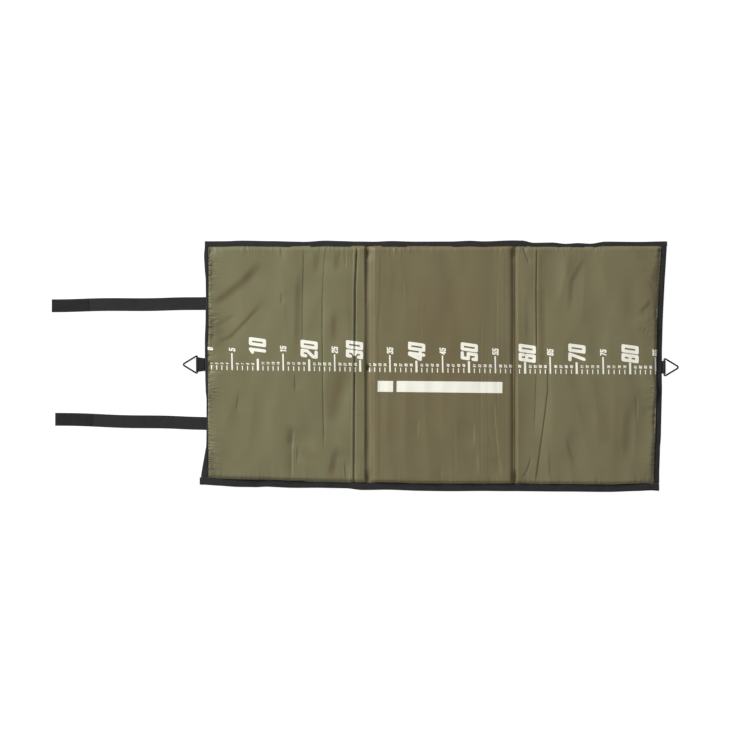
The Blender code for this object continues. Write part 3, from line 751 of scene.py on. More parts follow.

# %% [markdown]
# The creases that years of folding pressed into the cloth are listed one by one. Each is a path in pixels
# with three shapes across it, all in millimetres: a dent, a swell beside it, and a step down to one side that
# levels out again. Its height is a sum of curves of the distance to the path. It fades out at its ends.

# %% Creases
# Path, dent depth, width, swell height, swell distance, step height, step length, fade share.
# A positive step lowers the cloth on the left hand of a walker who follows the path, and a swell at a
# positive distance is on that side too.
CREASES = {
    "left": [
        (
            [(357.2, 246), (356.4, 262), (355.3, 285), (354.8, 350), (354.3, 420), (353.9, 487)],
            2.8, 1.6, 0.9, -3.2, 0.9, 20, 0.03,
        ),
        ([(353.2, 246), (352.6, 256), (352.9, 270)], 1.1, 0.9, 0.6, 2.0, 0, 1, 0.35),
        ([(345.4, 245), (345.8, 258), (345.0, 272)], 0.7, 1.1, 0.4, 2.6, 0, 1, 0.35),
        ([(340.6, 245), (340.8, 262)], 0.5, 1.2, 0.3, 2.6, 0, 1, 0.35),
        ([(303.6, 245), (302.9, 275), (302.3, 300), (302.0, 346)], 0, 0.9, 0, 1, 1.2, 14, 0.12),
        ([(299, 268), (298, 310), (296.5, 354)], 0, 8, 0, 1, 3.0, 40, 0.3),
        ([(325.6, 246), (324.0, 262), (322.8, 285), (322.3, 304)], 0, 0.9, 0, 1, 1.0, 6, 0.25),
        ([(322.4, 284), (322.2, 330), (322.9, 400), (324, 455)], 0.4, 0.9, 0, 1, 1.5, 3.5, 0.15),
        ([(317, 246), (315, 278)], 0, 7, 0, 1, 2.0, 25, 0.45),
        ([(337, 247), (336, 276)], 0, 6, 0, 1, 1.8, 25, 0.45),
        ([(334, 306), (333, 348)], 0, 7, 0, 1, 2.4, 30, 0.45),
        ([(281, 246), (281.6, 258)], 0.3, 0.9, 0, 1, 1.0, 8, 0.4),
        ([(280.6, 291), (281.6, 306)], 0, 2.0, 0, 1, 1.3, 10, 0.45),
        ([(263, 260), (244, 281), (226, 295), (204, 310)], 0, 9, 0, 1, 3.8, 60, 0.30),
        ([(264, 301), (242, 325), (230.7, 336.4), (211, 346)], 0.2, 2.6, 0, 1, 2.0, 40, 0.30),
        ([(237, 314), (213, 327)], 0, 1.3, 0, 1, 1.2, 14, 0.35),
        ([(217, 318), (209, 325)], 0.8, 1.1, 0, 1, 1.2, 10, 0.4),
        ([(216, 334), (209, 339)], 0.8, 1.1, 0, 1, 1.2, 10, 0.4),
        ([(215, 262), (208.6, 268)], 1.2, 1.1, 0, 1, 1.2, 10, 0.4),
        ([(214, 271), (208.6, 278)], 1.4, 1.1, 0, 1, 1.2, 10, 0.4),
        ([(213, 288), (208.6, 293)], 1.2, 1.1, 0, 1, 1.2, 10, 0.4),
        ([(294.3, 372), (294.9, 394)], 0, 1.4, 0, 1, 1.4, 10, 0.4),
        ([(238.6, 390), (235.6, 415)], 0, 1.6, 0, 1, 1.2, 12, 0.4),
        ([(294.4, 424), (292.4, 450), (292.4, 484)], 0, 1.2, 0, 1, -2.2, 9, 0.3),
        ([(297.6, 443), (296.6, 464)], 0, 1.2, 0, 1, 1.2, 8, 0.35),
        ([(346, 366), (338, 398), (331, 430)], 0, 15, 0, 1, 3.2, 50, 0.3),
        ([(337, 446), (329, 478)], 0, 9, 0, 1, 3.4, 30, 0.35),
        ([(290, 424), (289, 450)], 0, 7, 0, 1, 2.0, 40, 0.4),
        ([(344.2, 460), (345.8, 482)], 0, 0.9, 0, 1, 1.8, 6, 0.3),
        ([(348.4, 464), (348.8, 487)], 0.5, 1.0, 0.3, 2.2, 0, 1, 0.35),
        ([(206, 438), (213, 443)], 1.6, 1.2, 0.4, 4.0, 0, 1, 0.4),
        ([(206, 447), (212, 452), (219, 459)], 2.4, 1.3, 0.5, 4.2, 0, 1, 0.4),
        ([(206, 462), (212, 467), (219, 474)], 2.4, 1.3, 0.5, 4.2, 0, 1, 0.4),
        ([(206, 473), (211, 478)], 1.4, 1.2, 0.4, 3.6, 0, 1, 0.4),
    ],
    "middle": [
        (
            [(372.8, 246), (373.2, 300), (372.4, 360), (373.4, 440), (373, 487)],
            0.3, 1.4, 0.25, -3.4, 0, 1, 0.05,
        ),
        ([(380.6, 246), (380, 300), (377.6, 330), (380, 400), (379, 487)], 0.1, 1.4, 0.2, -4, 0.4, 14, 0.08),
        ([(402.4, 278), (404, 300)], 0.25, 2.0, 0.3, 4, 0, 1, 0.4),
        ([(421, 298), (420.2, 346)], 0.25, 2.0, 0.25, 4, 0, 1, 0.3),
        ([(455, 400), (454, 440), (455.4, 486)], 0.25, 2.4, 0.2, 5, 0, 1, 0.3),
        ([(481.4, 300), (480.2, 350), (480.6, 487)], 0.2, 2.0, 0.25, 4.4, 0.3, 12, 0.2),
        ([(488.4, 340), (487.6, 400), (489, 487)], 0.2, 2.0, 0.2, -4.4, 0, 1, 0.25),
        ([(496.6, 274), (496.2, 340), (497.2, 430)], 0.2, 1.8, 0.3, 4, 0.3, 12, 0.2),
        ([(494.0, 394), (495.6, 424), (500.2, 472)], 0, 1.3, 0, 1, -1.5, 14, 0.3),
        ([(487.4, 428), (491.6, 458)], 0, 1.2, 0, 1, 0.8, 8, 0.4),
        ([(474.2, 419), (473.8, 447)], 0, 1.1, 0, 1, -1.2, 10, 0.4),
        ([(418.5, 418), (417.8, 439)], 0, 1.1, 0, 1, -1.0, 10, 0.4),
        ([(442.0, 464), (441.6, 483)], 0, 1.1, 0, 1, -0.9, 8, 0.4),
        ([(476.5, 448), (478.5, 478)], 0, 4, 0, 1, -1.8, 20, 0.4),
        ([(498, 454), (502, 478)], 0, 4, 0, 1, -1.8, 14, 0.4),
        ([(505.6, 246), (506.2, 360), (505.2, 487)], 0.2, 1.5, 0.25, 3.4, 0, 1, 0.05),
        ([(391, 250), (394, 276), (388, 310)], 0, 6, 0, 1, 0.8, 30, 0.4),
    ],
    "right": [
        ([(536.8, 246), (536.2, 290), (536.7, 350)], 1.4, 1.1, 0.5, -3.0, 1.0, 40, 0.06),
        ([(536.7, 340), (536.0, 380), (534, 436)], 0.5, 0.9, 0, 1, 1.0, 8, 0.2),
        ([(541.5, 246), (541.5, 374)], 0, 8, 0, 1, 2.6, 30, 0.12),
        ([(547.4, 364), (547.4, 392), (542.6, 430), (534.7, 485)], 0.6, 0.9, 0, 1, 1.8, 14, 0.08),
        ([(521.4, 244), (525, 254), (529, 265)], 1.2, 1.1, 0, 1, 2.4, 10, 0.2),
        ([(531.4, 454), (527.4, 469), (520.2, 481)], 0.4, 0.9, 0, 1, 1.3, 6, 0.25),
        ([(531, 262), (533, 280), (532, 296)], 0, 1.2, 0, 1, 0.5, 8, 0.4),
        ([(526, 288), (527, 348)], 0, 5, 0, 1, 1.6, 20, 0.3),
        ([(630, 322), (643, 317), (656, 312)], 0, 1.2, 0, 1, 1.3, 12, 0.35),
        ([(639, 328), (652, 334)], 1.9, 1.2, 0, 1, -0.8, 10, 0.35),
        ([(636, 316), (654, 298)], 0, 5, 0, 1, -3.4, 30, 0.4),
        ([(645, 279), (657, 290)], 2.0, 1.1, 0, 1, -0.8, 10, 0.4),
        ([(641, 290), (655, 303)], 0, 1.4, 0, 1, -1.6, 12, 0.4),
        ([(629, 400), (626, 436), (627, 466)], 0, 11, 0, 1, 4.2, 40, 0.35),
        ([(637.6, 394), (637.3, 423)], 0, 1.0, 0, 1, -1.2, 9, 0.3),
        ([(643, 415), (656, 411)], 0, 1.2, 0, 1, 1.4, 10, 0.35),
        ([(549, 450), (549.5, 482)], 0, 3, 0, 1, 1.4, 14, 0.35),
        ([(563, 432), (577, 472)], 0, 4, 0, 1, 1.5, 20, 0.35),
        ([(588, 252), (571, 282), (569, 316)], 0, 6, 0, 1, 2.4, 40, 0.3),
    ],
}


def path_place(x, y, path):
    """Distance to the nearest place on a path, the side of the path, and that place's share of its length."""
    px, py = at_px(*np.array(path, float).T)
    best = np.full(np.shape(x), 1e3)
    side = np.zeros(np.shape(x))
    along = np.zeros(np.shape(x))
    lengths = np.hypot(np.diff(px), np.diff(py))
    starts = np.concatenate([[0], np.cumsum(lengths)])
    for k, length in enumerate(lengths):
        dx, dy = (px[k + 1] - px[k]) / length, (py[k + 1] - py[k]) / length
        t = np.clip((x - px[k]) * dx + (y - py[k]) * dy, 0, length)
        away = np.hypot(x - px[k] - t * dx, y - py[k] - t * dy)
        nearer = away < best
        best = np.where(nearer, away, best)
        side = np.where(nearer, np.sign((x - px[k]) * dy - (y - py[k]) * dx), side)
        along = np.where(nearer, starts[k] + t, along)
    return best, side, along / starts[-1]


def crease_height(x, y, path, dent, width, swell, swell_at, step, step_long, fade):
    """Minus a bell curve on the path, plus a bell curve beside it, minus a step that levels out.
    All of it fades at the path's ends, and from 80 mm away from it.
    """
    best, side, share = path_place(x, y, path)
    ends = smooth(share / fade) * smooth((1 - share) / fade)
    ends = ends * np.exp(-((np.clip(best - 0.08, 0, None) / 0.03) ** 2))
    offset = -best * side * 1000
    beside = (offset - swell_at) / (0.8 + 0.35 * abs(swell_at))
    height = swell * np.exp(-(beside**2)) - dent * np.exp(-np.abs(offset / width) ** 1.6)
    if step:
        past = offset * np.sign(step)
        levelling = np.exp(-np.clip(past, 0, None) / step_long)
        height = height - abs(step) * smooth(past / (2 * width) + 0.5) * levelling
    return height * ends * 0.001


WAVES = 14


def soft_noise(x, y, seed, low, high):
    """A sum of sine waves with a spread of one. low and high bound their waves per metre in radians."""
    random = np.random.default_rng(seed)
    total = 0 * x
    for _ in range(WAVES):
        k = random.uniform(low, high)
        heading = random.normal(0, 0.55)
        across, along = np.cos(heading), 0.55 * np.sin(heading)
        total = total + np.sin(k * (across * x + along * y) + random.uniform(0, 6.28))
    return total / math.sqrt(WAVES / 2)


def puckers(name, x, y):
    """Gathers where the cloth was sewn: uneven folds along each side that die out inwards."""
    total = 0 * x
    strengths = (0.7, 0.6, 2.2 if name == "left" else 0.15, 1.1 if name == "right" else 0.15)
    sides = zip(side_distances(name, x, y), (x, x, y, y), strengths, (41, 42, 43, 44))
    for (distance, _), along, strength, seed in sides:
        reach = np.clip(distance, 0, None)
        wave = soft_noise(along, 0 * along, seed, 180, 360)
        slow = soft_noise(along, 0 * along, seed + 8, 40, 110)
        gain = np.clip(0.6 + 0.5 * slow, 0.1, 1.6)
        folds = gain * np.abs(wave) * np.exp(-reach / 0.010) + 0.7 * slow * np.exp(-reach / 0.008)
        total = total - strength * 0.001 * smooth(reach / 0.0025) * folds
    return total


def fold_masks(name, x, y):
    """How strongly the finish shows gathers and painted edge shade: near the two ends of the mat, and near
    its long sides.
    """
    front, back, low, high = (np.clip(distance, 0, None) for distance, _ in side_distances(name, x, y))
    patchy = np.clip(0.55 + 0.55 * soft_noise(y, 0 * y, 61, 40, 120), 0.05, 1.4)
    ends = 0 * x
    if name != "middle":
        distance, strength, reach = (low, 1.2, 0.012) if name == "left" else (high, 0.8, 0.014)
        ends = patchy * strength * np.exp(-distance / reach) + 1.2 * np.exp(-distance / 0.003)
    uneven = np.clip(0.45 + 0.6 * soft_noise(x, 0 * x, 62, 40, 120), 0.0, 1.3)
    return ends, uneven * 0.5 * (np.exp(-front / 0.007) + np.exp(-back / 0.007))


ROLLING = {"left": 0.001, "middle": 0.0008, "right": 0.0014}


def rolling(name, x, y):
    """Low swells, and folds where a slow field crosses zero: minus a rounded absolute value."""
    seed = list(PANELS).index(name)
    swell = 0.50 * soft_noise(x, y, 11 + seed, 35, 80) + 0.16 * soft_noise(x, y, 21 + seed, 90, 170)
    field = soft_noise(x, y, 31 + seed, 40, 105)
    fold = 0.55 * (0.8 - np.sqrt(field**2 + 0.02))
    return ROLLING[name] * (swell + fold)


print("creases", sum(len(paths) for paths in CREASES.values()))

# %% [markdown]
# A cover's top is the tight form plus all of this relief. Upward relief is bent over to a limit, and inside
# the edges the whole is sunk a little, so that packed panels don't touch.

# %% Height of the covers
RELIEF_CAP = 0.0012
COVER_SINK = 0.0013


def cover_top(name, x, y):
    """Z of the dressed cover's outer face."""
    inner = 1.0
    for distance, _ in side_distances(name, x, y):
        inner = inner * smooth(distance / 0.003)
    relief = slack_at(name, x, y) + puckers(name, x, y) + rolling(name, x, y)
    for crease in CREASES[name]:
        relief = relief + crease_height(x, y, *crease)
    relief = np.where(relief > 0, RELIEF_CAP * np.tanh(relief / RELIEF_CAP), relief)
    return pad_top(name, x, y) + (relief - COVER_SINK) * inner


# %% [markdown]
# Each cover is one fine grid that follows the outline of its panel. The creases run mostly from front to
# back, so its cells are narrow across them and longer along them, and smaller near the edges, where the
# cloth turns down. Its edge goes in under the tape or ends at the stitch line. A second grid under it gives
# the cloth a thickness.

# %% Top covers
COVERS = {}
FINE_REACH = 0.012


def spread(length, cell, fine):
    """Shares from 0 to 1 with small steps near both ends: the inverse of a summed density."""
    at = np.linspace(0, length, 4001)
    step = fine + (cell - fine) * smooth(np.minimum(at, length - at) / FINE_REACH)
    total = np.concatenate([[0], np.cumsum(0.5 * (1 / step[1:] + 1 / step[:-1]) * np.diff(at))])
    return np.interp(np.linspace(0, total[-1], math.ceil(total[-1]) + 1), total, at) / length


def cover_ends(name, y):
    """X of both ends of a cover at y: under the tape's back, or at the stitch line."""
    low, high, low_tape, high_tape = PANELS[name]
    return low(y) + (EDGE_IN if low_tape else 0), high(y) - (EDGE_IN if high_tape else 0)


def cover_sides(x):
    """Y of the front and the back of a cover at x."""
    return edge_front(x) + EDGE_IN, edge_back(x) - EDGE_IN


def panel_grid(name, s, t):
    """X and Y of a grid over a panel: shares s of its width and t of its depth, settled to its outline."""
    s, t = s[:, None], t[None, :]
    y = -FRONT + DEPTH * t + 0 * s
    for _ in range(5):
        x_low, x_high = cover_ends(name, y)
        x = x_low * (1 - s) + x_high * s
        y_low, y_high = cover_sides(x)
        y = y_low * (1 - t) + y_high * t
    return x, y


def panel_width(name):
    """A panel's width at its middle."""
    low, high = PANELS[name][:2]
    return float(high(np.array(0.0)) - low(np.array(0.0)))


# Patches of painted shade, browner too, that lie on the broad crease shades. Path in pixels, half width in
# millimetres, amount.
BROWN_SHADE_PATCHES = {
    "left": [
        ([(341, 372), (330, 412)], 15, 0.8),
        ([(337, 450), (332, 474)], 9, 0.7),
        ([(288, 428), (289, 441)], 8, 0.6),
        ([(289, 456), (289, 478)], 6, 0.6),
        ([(306, 452), (317, 457)], 9, 0.35),
        ([(318, 260), (317, 267)], 8, 0.5),
        ([(338, 255), (337, 266)], 9, 0.6),
        ([(334, 320), (336, 335)], 10, 0.7),
        ([(297, 290), (296, 350)], 8, 0.5),
        ([(257, 268), (222, 298)], 9, 0.5),
        ([(264, 301), (230, 337)], 7, 0.3),
        ([(280.5, 296), (281, 302)], 4, 0.4),
        ([(218, 436), (240, 470)], 20, 0.25),
    ],
    "middle": [],
    "right": [
        ([(646, 272), (650, 306)], 14, 0.35),
        ([(652, 262), (653, 300)], 7, 0.4),
        ([(628, 405), (625, 455)], 14, 0.45),
        ([(604, 412), (604, 438)], 10, 0.25),
        ([(632, 306), (628, 312)], 12, 0.3),
        ([(541.5, 250), (541.5, 370)], 8, 0.5),
        ([(570, 262), (572, 285)], 9, 0.4),
    ],
}


def warmth(name, x, y):
    """How brown and dark the cloth looks: its own tone on the middle and right panels and at the middle of
    the mat, browner beside the seams, and painted shade in soft patches.
    """
    centre = np.exp(-((x / 0.12) ** 2) - ((y / 0.24) ** 2))
    seam = np.exp(-(((np.abs(x) - SEAM_X) / 0.016) ** 2))
    base = {"left": 0.0, "middle": 0.50, "right": 0.34}[name]
    drift = 0.10 * np.sin(31 * x + 1.2) * np.sin(17 * y + 0.4)
    total = base + 0.45 * centre * (name == "middle") + 0.40 * seam + drift
    for path, half_width, amount in BROWN_SHADE_PATCHES[name]:
        total = total + amount * np.exp(-((path_place(x, y, path)[0] / (0.001 * half_width)) ** 2))
    return np.clip(total, 0, 1)


def grid_normals(points):
    """Unit normals of a grid of points, from the cross product of its two slopes."""
    return unit(np.cross(np.gradient(points, axis=0), np.gradient(points, axis=1)))


for panel in PANELS:
    s, t = spread(panel_width(panel), 0.00105, 0.0005), spread(DEPTH, 0.0036, 0.0009)
    x, y = panel_grid(panel, s, t)
    upper = xyz(x, y, cover_top(panel, x, y))
    COVERS[panel] = s, t, upper[..., 2]
    lower = upper - COVER * grid_normals(upper)
    lower[..., 2] = np.maximum(lower[..., 2], hem_level(panel, x, y) + 0.0009)
    points, faces = closed_sheet(upper, lower)
    tone = np.tile(warmth(panel, x, y).ravel(), 2)
    ends, sides = (np.tile(mask.ravel(), 2) for mask in fold_masks(panel, x, y))
    cover = solid(f"cover_{panel}", points, faces, olive, 80, warm=tone, end_folds=ends, side_folds=sides)
    wear(cover, f"{panel}_panel", "cover_cloth", f"top_cover_{panel}")

# %% [markdown]
# Inside each cover lies its foam, a block with rounded shoulders 8 mm under the tight cover. It is hidden,
# but it is a piece of the mat, so it is made too.

# %% Foam blocks
FOAM_IN = TAPE_LEAF["right"] + 0.010
FOAM_CELL = 0.006
FOAM_UNDER = 0.0080


def foam_block(name):
    """The cover's own form moved down and in, over a nearly flat base."""
    sizes = (panel_width(name), DEPTH)
    s, t = (np.linspace(FOAM_IN / size, 1 - FOAM_IN / size, round(size / FOAM_CELL)) for size in sizes)
    x, y = panel_grid(name, s, t)
    base = np.maximum(hem_level(name, x, y) + 0.0014, 0.0022)
    top = np.maximum(pad_top(name, x, y) - FOAM_UNDER, base + 0.001)
    points, faces = closed_sheet(xyz(x, y, top), xyz(x, y, base))
    return solid(f"foam_{name}", points, faces, foam_mat, 60)


for panel in PANELS:
    wear(foam_block(panel), f"{panel}_panel", "foam", f"foam_pad_{panel}")

# %% [markdown]
# The underside is dark cloth. It lies on the ground in the middle of each panel, with small dents, and curves
# up to the hem. The middle one has two shallow recesses for the loop tape that holds the straps.

# %% Bottom covers
LOOP_X = (-0.0855, 0.0109)
LOOP_Y = (0.1163, -0.1039)
LOOP_HALF = 0.0125
LOOP_MARGIN = 0.0008
RECESS = 0.00105
DENT = 0.0006
CENTRE_PATCH = 0.012


def cover_bottom(name, x, y):
    """Z of the underside: the hem level, small dents that fade out at the folds, and the recesses.
    The middle one is level with the ground at the origin.
    """
    dents = DENT * (1 + np.sin(x / 0.017 + 2 * np.sin(y / 0.05)) * np.sin(y / 0.023 + x / 0.04))
    z = hem_level(name, x, y) + dents * smooth((np.abs(np.abs(x) - SEAM_X) - 0.007) / 0.012)
    if name == "middle":
        for centre in LOOP_Y:
            within = np.minimum(LOOP_HALF - np.abs(y - centre), np.minimum(x - LOOP_X[0], LOOP_X[1] - x))
            z = np.maximum(z, RECESS * smooth(1 + (within + LOOP_MARGIN) / 0.0015))
        z = z * (1 - np.exp(-((x / CENTRE_PATCH) ** 2) - (y / CENTRE_PATCH) ** 2))
    return z


for panel in PANELS:
    x, y = panel_grid(panel, spread(panel_width(panel), 0.0030, 0.0012), spread(DEPTH, 0.0036, 0.0012))
    z = cover_bottom(panel, x, y)
    points, faces = closed_sheet(xyz(x, y, z + COVER / 2), xyz(x, y, z))
    tone = np.tile(warmth(panel, x, y).ravel(), 2)
    piece = solid(f"underside_{panel}", points, faces, under, 80, warm=tone)
    wear(piece, f"{panel}_panel", "underside_cloth", f"bottom_cover_{panel}")

# %% [markdown]
# The mat folds along two sewn channels, where the olive cloth meets the dark one under a row of stitches.
# Each cloth is its own strip, so that the back of a closed fold is dark.

# %% Fold channels
# Heights of both faces of each strip over the underside's level, and how deep the stitches pull them in.
# The upper strip is lifted further, to where the seam hangs.
UPPER_STRIP = (0.00112, 0.00082)
LOWER_STRIP = (0.00078, 0.00060)
STITCH_DIP = 0.00025
FOLD_HALF = 0.0016
FOLDS = {"left": -1, "right": 1}


def seam_lift(x, y):
    """How far the upper face of the seam is above its place at the hem."""
    return (PAD_EDGE - SEWN - hem_level("middle", x, y)) * seam_share(x, y)


def channel(side):
    """Both faces of the two strips along a fold: fine at its middle, dipped on the stitch line."""
    wings = np.array([0.003, 0.005, 0.007])
    d = np.concatenate([-wings[::-1], np.linspace(-0.0018, 0.0018, 37), wings])[:, None]
    t = spread(DEPTH, 0.0024, 0.0012)[None, :]
    x = side * SEAM_X + d + 0 * t
    y_low, y_high = cover_sides(x)
    y = y_low * (1 - t) + y_high * t
    level, lift = hem_level("middle", x, y), seam_lift(x, y)
    dip = STITCH_DIP * (np.exp(-((d / 0.0006) ** 2)) * (0.8 + 0.2 * np.sin(y / 0.00108)))
    upper = [xyz(x, y, level + (height + lift) - dip) for height in UPPER_STRIP]
    lower = [xyz(x, y, level + height - dip) for height in LOWER_STRIP]
    return upper, lower


def bend_over_fold(piece, name, side, slot, *nodes):
    """The piece goes to bend with the middle panel, a side panel and both edges of the stitch line."""
    inner, outer = side * (SEAM_X - FOLD_HALF), side * (SEAM_X + FOLD_HALF)
    bend(piece, "middle_panel", f"{name}_panel", inner, outer, slot, *nodes)


for name, side in FOLDS.items():
    top, bottom = channel(side)
    points, faces = closed_sheet(*top)
    strip = solid(f"fold_channel_{name}", points, faces, olive, 80, warm=np.full(len(points), 0.75))
    bend_over_fold(strip, name, side, "cover_cloth", f"fold_seam_{name}")
    points, faces = closed_sheet(*bottom)
    strip = solid(f"fold_underside_{name}", points, faces, under, 80, warm=np.full(len(points), 0.5))
    bend_over_fold(strip, name, side, "underside_cloth")

# %% [markdown]
# A row of stitches is one small shape repeated. The shape is a spindle of thread, dipped into the cloth at
# both ends. Each copy is turned to its own direction with three unit vectors, all at once.

# %% Stitches
STITCH_PITCH = 0.0034
FINE_THREAD = (0.0026, 0.00026)  # a stitch's length and radius
THICK_THREAD = (0.0027, 0.00028)


def spindle(length, radius):
    """Points and quads of a closed spindle along X: rings whose radius follows a sine."""
    turn = np.linspace(0, 2 * np.pi, 6, endpoint=False)
    share = np.linspace(0.04, 0.96, 5)
    size = radius * np.sin(np.pi * share) ** 0.5
    x = (share - 0.5)[:, None] * length + 0 * turn
    points, faces, _ = tube(xyz(x, size[:, None] * np.cos(turn), size[:, None] * np.sin(turn)))
    caps = [[3, 2, 1, 0], [5, 4, 3, 0], [24, 25, 26, 27], [24, 27, 28, 29]]
    return points, np.concatenate([faces, np.array(caps)])


def points_along(path, places):
    """The points at some distances along a path."""
    length = distances(path)
    return np.stack([np.interp(places, length, column) for column in path.T], -1)


def stitch_row(path, inset=0.0):
    """Places and directions at an even pitch along a path of points."""
    count = max(2, int((distances(path)[-1] - 2 * inset) / STITCH_PITCH))
    places = inset + STITCH_PITCH * (np.arange(count) + 0.5)
    shifts = (0, STITCH_PITCH / 4, -STITCH_PITCH / 4)
    at, ahead, behind = (points_along(path, places + shift) for shift in shifts)
    return at, unit(ahead - behind)


def stitches(name, rows, material, thread):
    """All stitches of some rows as one piece."""
    shape, faces = spindle(*thread)
    at, way = (np.concatenate(parts) for parts in zip(*rows))
    sideways = unit(np.cross([0.0, 0.0, 1.0], way))
    axes = (way, sideways, np.cross(way, sideways))
    turned = sum(shape[:, k, None, None] * axis for k, axis in enumerate(axes))
    points = (turned + at).transpose(1, 0, 2).reshape(-1, 3)
    shift = np.arange(len(at))[:, None, None] * len(shape)
    return solid(name, points, (faces + shift).reshape(-1, 4), material, 60)


for name, side in FOLDS.items():
    y = np.linspace(float(edge_front(side * SEAM_X)) + 0.016, BACK - 0.012, 300)
    x = side * SEAM_X + 0.0002 * np.sin(y / 0.06)
    z = hem_level("middle", x, y) + 0.00095 + seam_lift(x, y)
    piece = stitches(f"fold_stitches_{name}", [stitch_row(xyz(x, y, z))], olive_thread, THICK_THREAD)
    bend_over_fold(piece, name, side, "cover_cloth")

# %% [markdown]
# Binding tape is folded over the raw edge. Its section is a flattened U with a rounded back and thin leaves,
# carried along the outline. Small waves in the leaf's width and height keep it from looking machined.

# %% Edge tape
def tape_section(leaf):
    """(inward, z, distance along the tape's width) of the U's outline, for an array of leaf widths."""
    half = (LEAF_TOP - LEAF_LOW) / 2
    middle = (LEAF_TOP + LEAF_LOW) / 2
    outer = np.linspace(-np.pi / 2, -3 * np.pi / 2, 9)
    inner = outer[::-1]
    back = half - TAPE
    d = [leaf * 0.995, leaf * 0.6] + [half + half * math.cos(a) + 0 * leaf for a in outer]
    z = [LEAF_LOW, LEAF_LOW] + [middle + half * math.sin(a) for a in outer]
    d += [leaf * 0.6, leaf * 0.9, leaf * 0.985, leaf, leaf * 0.985, leaf * 0.6]
    z += [LEAF_TOP + 0.0001, LEAF_TOP + 0.0001, LEAF_TOP]
    z += [LEAF_TOP - TAPE / 2, LEAF_TOP - TAPE, LEAF_TOP - TAPE]
    d += [half + back * math.cos(a) + 0 * leaf for a in inner] + [leaf * 0.6, leaf * 0.995]
    z += [middle + back * math.sin(a) for a in inner] + [LEAF_LOW + TAPE, LEAF_LOW + TAPE]
    d, z = np.stack(d, -1), np.array(z) + 0 * leaf[:, None]
    return d, z, distances(np.stack([d[0], z[0]], -1))


def tape(name, x, y, inward, leaf):
    """A U of tape along a path. inward is the direction of the mat at each point."""
    s = distances(np.stack([x, y], -1))
    phase = 7 * float(np.sum(inward[0])) + x[0] * 9
    width = leaf * (1 + 0.035 * np.sin(s / 0.019 + phase) + 0.03 * np.sin(s / 0.0071 + 2 * phase))
    d, z, across = tape_section(width)
    lift = 0.00018 * np.sin(s / 0.013 + phase) + 0.00012 * np.sin(s / 0.0047)
    z = z + lift[:, None] * smooth((z - LEAF_LOW) / 0.003)
    points, faces, ends = tube(xyz(x[:, None] + inward[:, :1] * d, y[:, None] + inward[:, 1:] * d, z))
    return solid(name, points, faces, tape_cloth, 60, ends, weave=xyz(s[:, None], across, 0).reshape(-1, 3))


STEP = 0.003
STITCH_INSET = 0.004  # no stitches nearer to the ends of a tape than this
SIDE_ROW, END_ROW = 0.0023, 0.0018  # from the row of stitches to the tape's inner edge
CUT_HALF = FOLD_HALF + 0.0006
SPANS = {
    "left": (None, -SEAM_X - CUT_HALF),
    "middle": (CUT_HALF - SEAM_X, SEAM_X - CUT_HALF),
    "right": (SEAM_X + CUT_HALF, None),
}
stitch_rows = {name: [] for name in PANELS}


def long_edge(side, low, high, count=0):
    """A path along the front or back edge, with the direction inwards."""
    x = np.linspace(low, high, count or round((high - low) / STEP))
    y = edge_front(x) if side == "front" else edge_back(x)
    inward = np.tile([[0.0, 1.0 if side == "front" else -1.0]], (len(x), 1))
    return x, y, inward


CORNERS_Y = {"front": (float(edge_front(LEFT_END)), float(edge_front(RIGHT_FRONT))), "back": (BACK, BACK)}
for side, (left_y, right_y) in CORNERS_Y.items():
    for name in PANELS:
        low, high = SPANS[name]
        low = float(edge_left(left_y)) if low is None else low
        high = float(edge_right(right_y)) if high is None else high
        x, y, inward = long_edge(side, low, high)
        leaf = leaf_at(side, x)
        piece = tape(f"tape_{side}_{name}", x, y, inward, leaf)
        wear(piece, f"{name}_panel", "edge_tape", f"binding_{side}_{name}")
        row = xyz(x, y + inward[:, 1] * (leaf - SIDE_ROW), LEAF_TOP)
        stitch_rows[name].append(stitch_row(row, STITCH_INSET))
    for name, way in FOLDS.items():
        x, y, inward = long_edge(side, way * SEAM_X - CUT_HALF, way * SEAM_X + CUT_HALF, 29)
        bridge = tape(f"tape_{side}_over_fold_{name}", x, y, inward, leaf_at(side, x))
        bend_over_fold(bridge, name, way, "edge_tape")

for name, edge, way, end_x in (("left", edge_left, 1.0, LEFT_END), ("right", edge_right, -1.0, RIGHT_FRONT)):
    y_low = float(edge_front(end_x)) + TAPE_LEAF["front"] + GAP
    y_high = float(edge_back(end_x)) - TAPE_LEAF["back"] - GAP
    y = np.linspace(y_low, y_high, 150)
    x = edge(y)
    inward = np.tile([[way, 0.0]], (len(y), 1))
    leaf = left_leaf(y) if name == "left" else TAPE_LEAF[name] + 0 * y
    wear(tape(f"tape_{name}_end", x, y, inward, leaf), f"{name}_panel", "edge_tape", f"binding_{name}_end")
    row = xyz(x + way * (leaf - END_ROW), y, LEAF_TOP)[leaf > 0.004]
    stitch_rows[name].append(stitch_row(row, STITCH_INSET))

for name, rows in stitch_rows.items():
    piece = stitches(f"tape_stitches_{name}", rows, black_thread, FINE_THREAD)
    wear(piece, f"{name}_panel", "edge_tape")

# %% [markdown]
# Webbing is a thick flat weave with rounded selvedges. A closed section is carried along a path, and its
# attribute holds the distances for the weave. The straps lie on the ground with a slight wave in them.

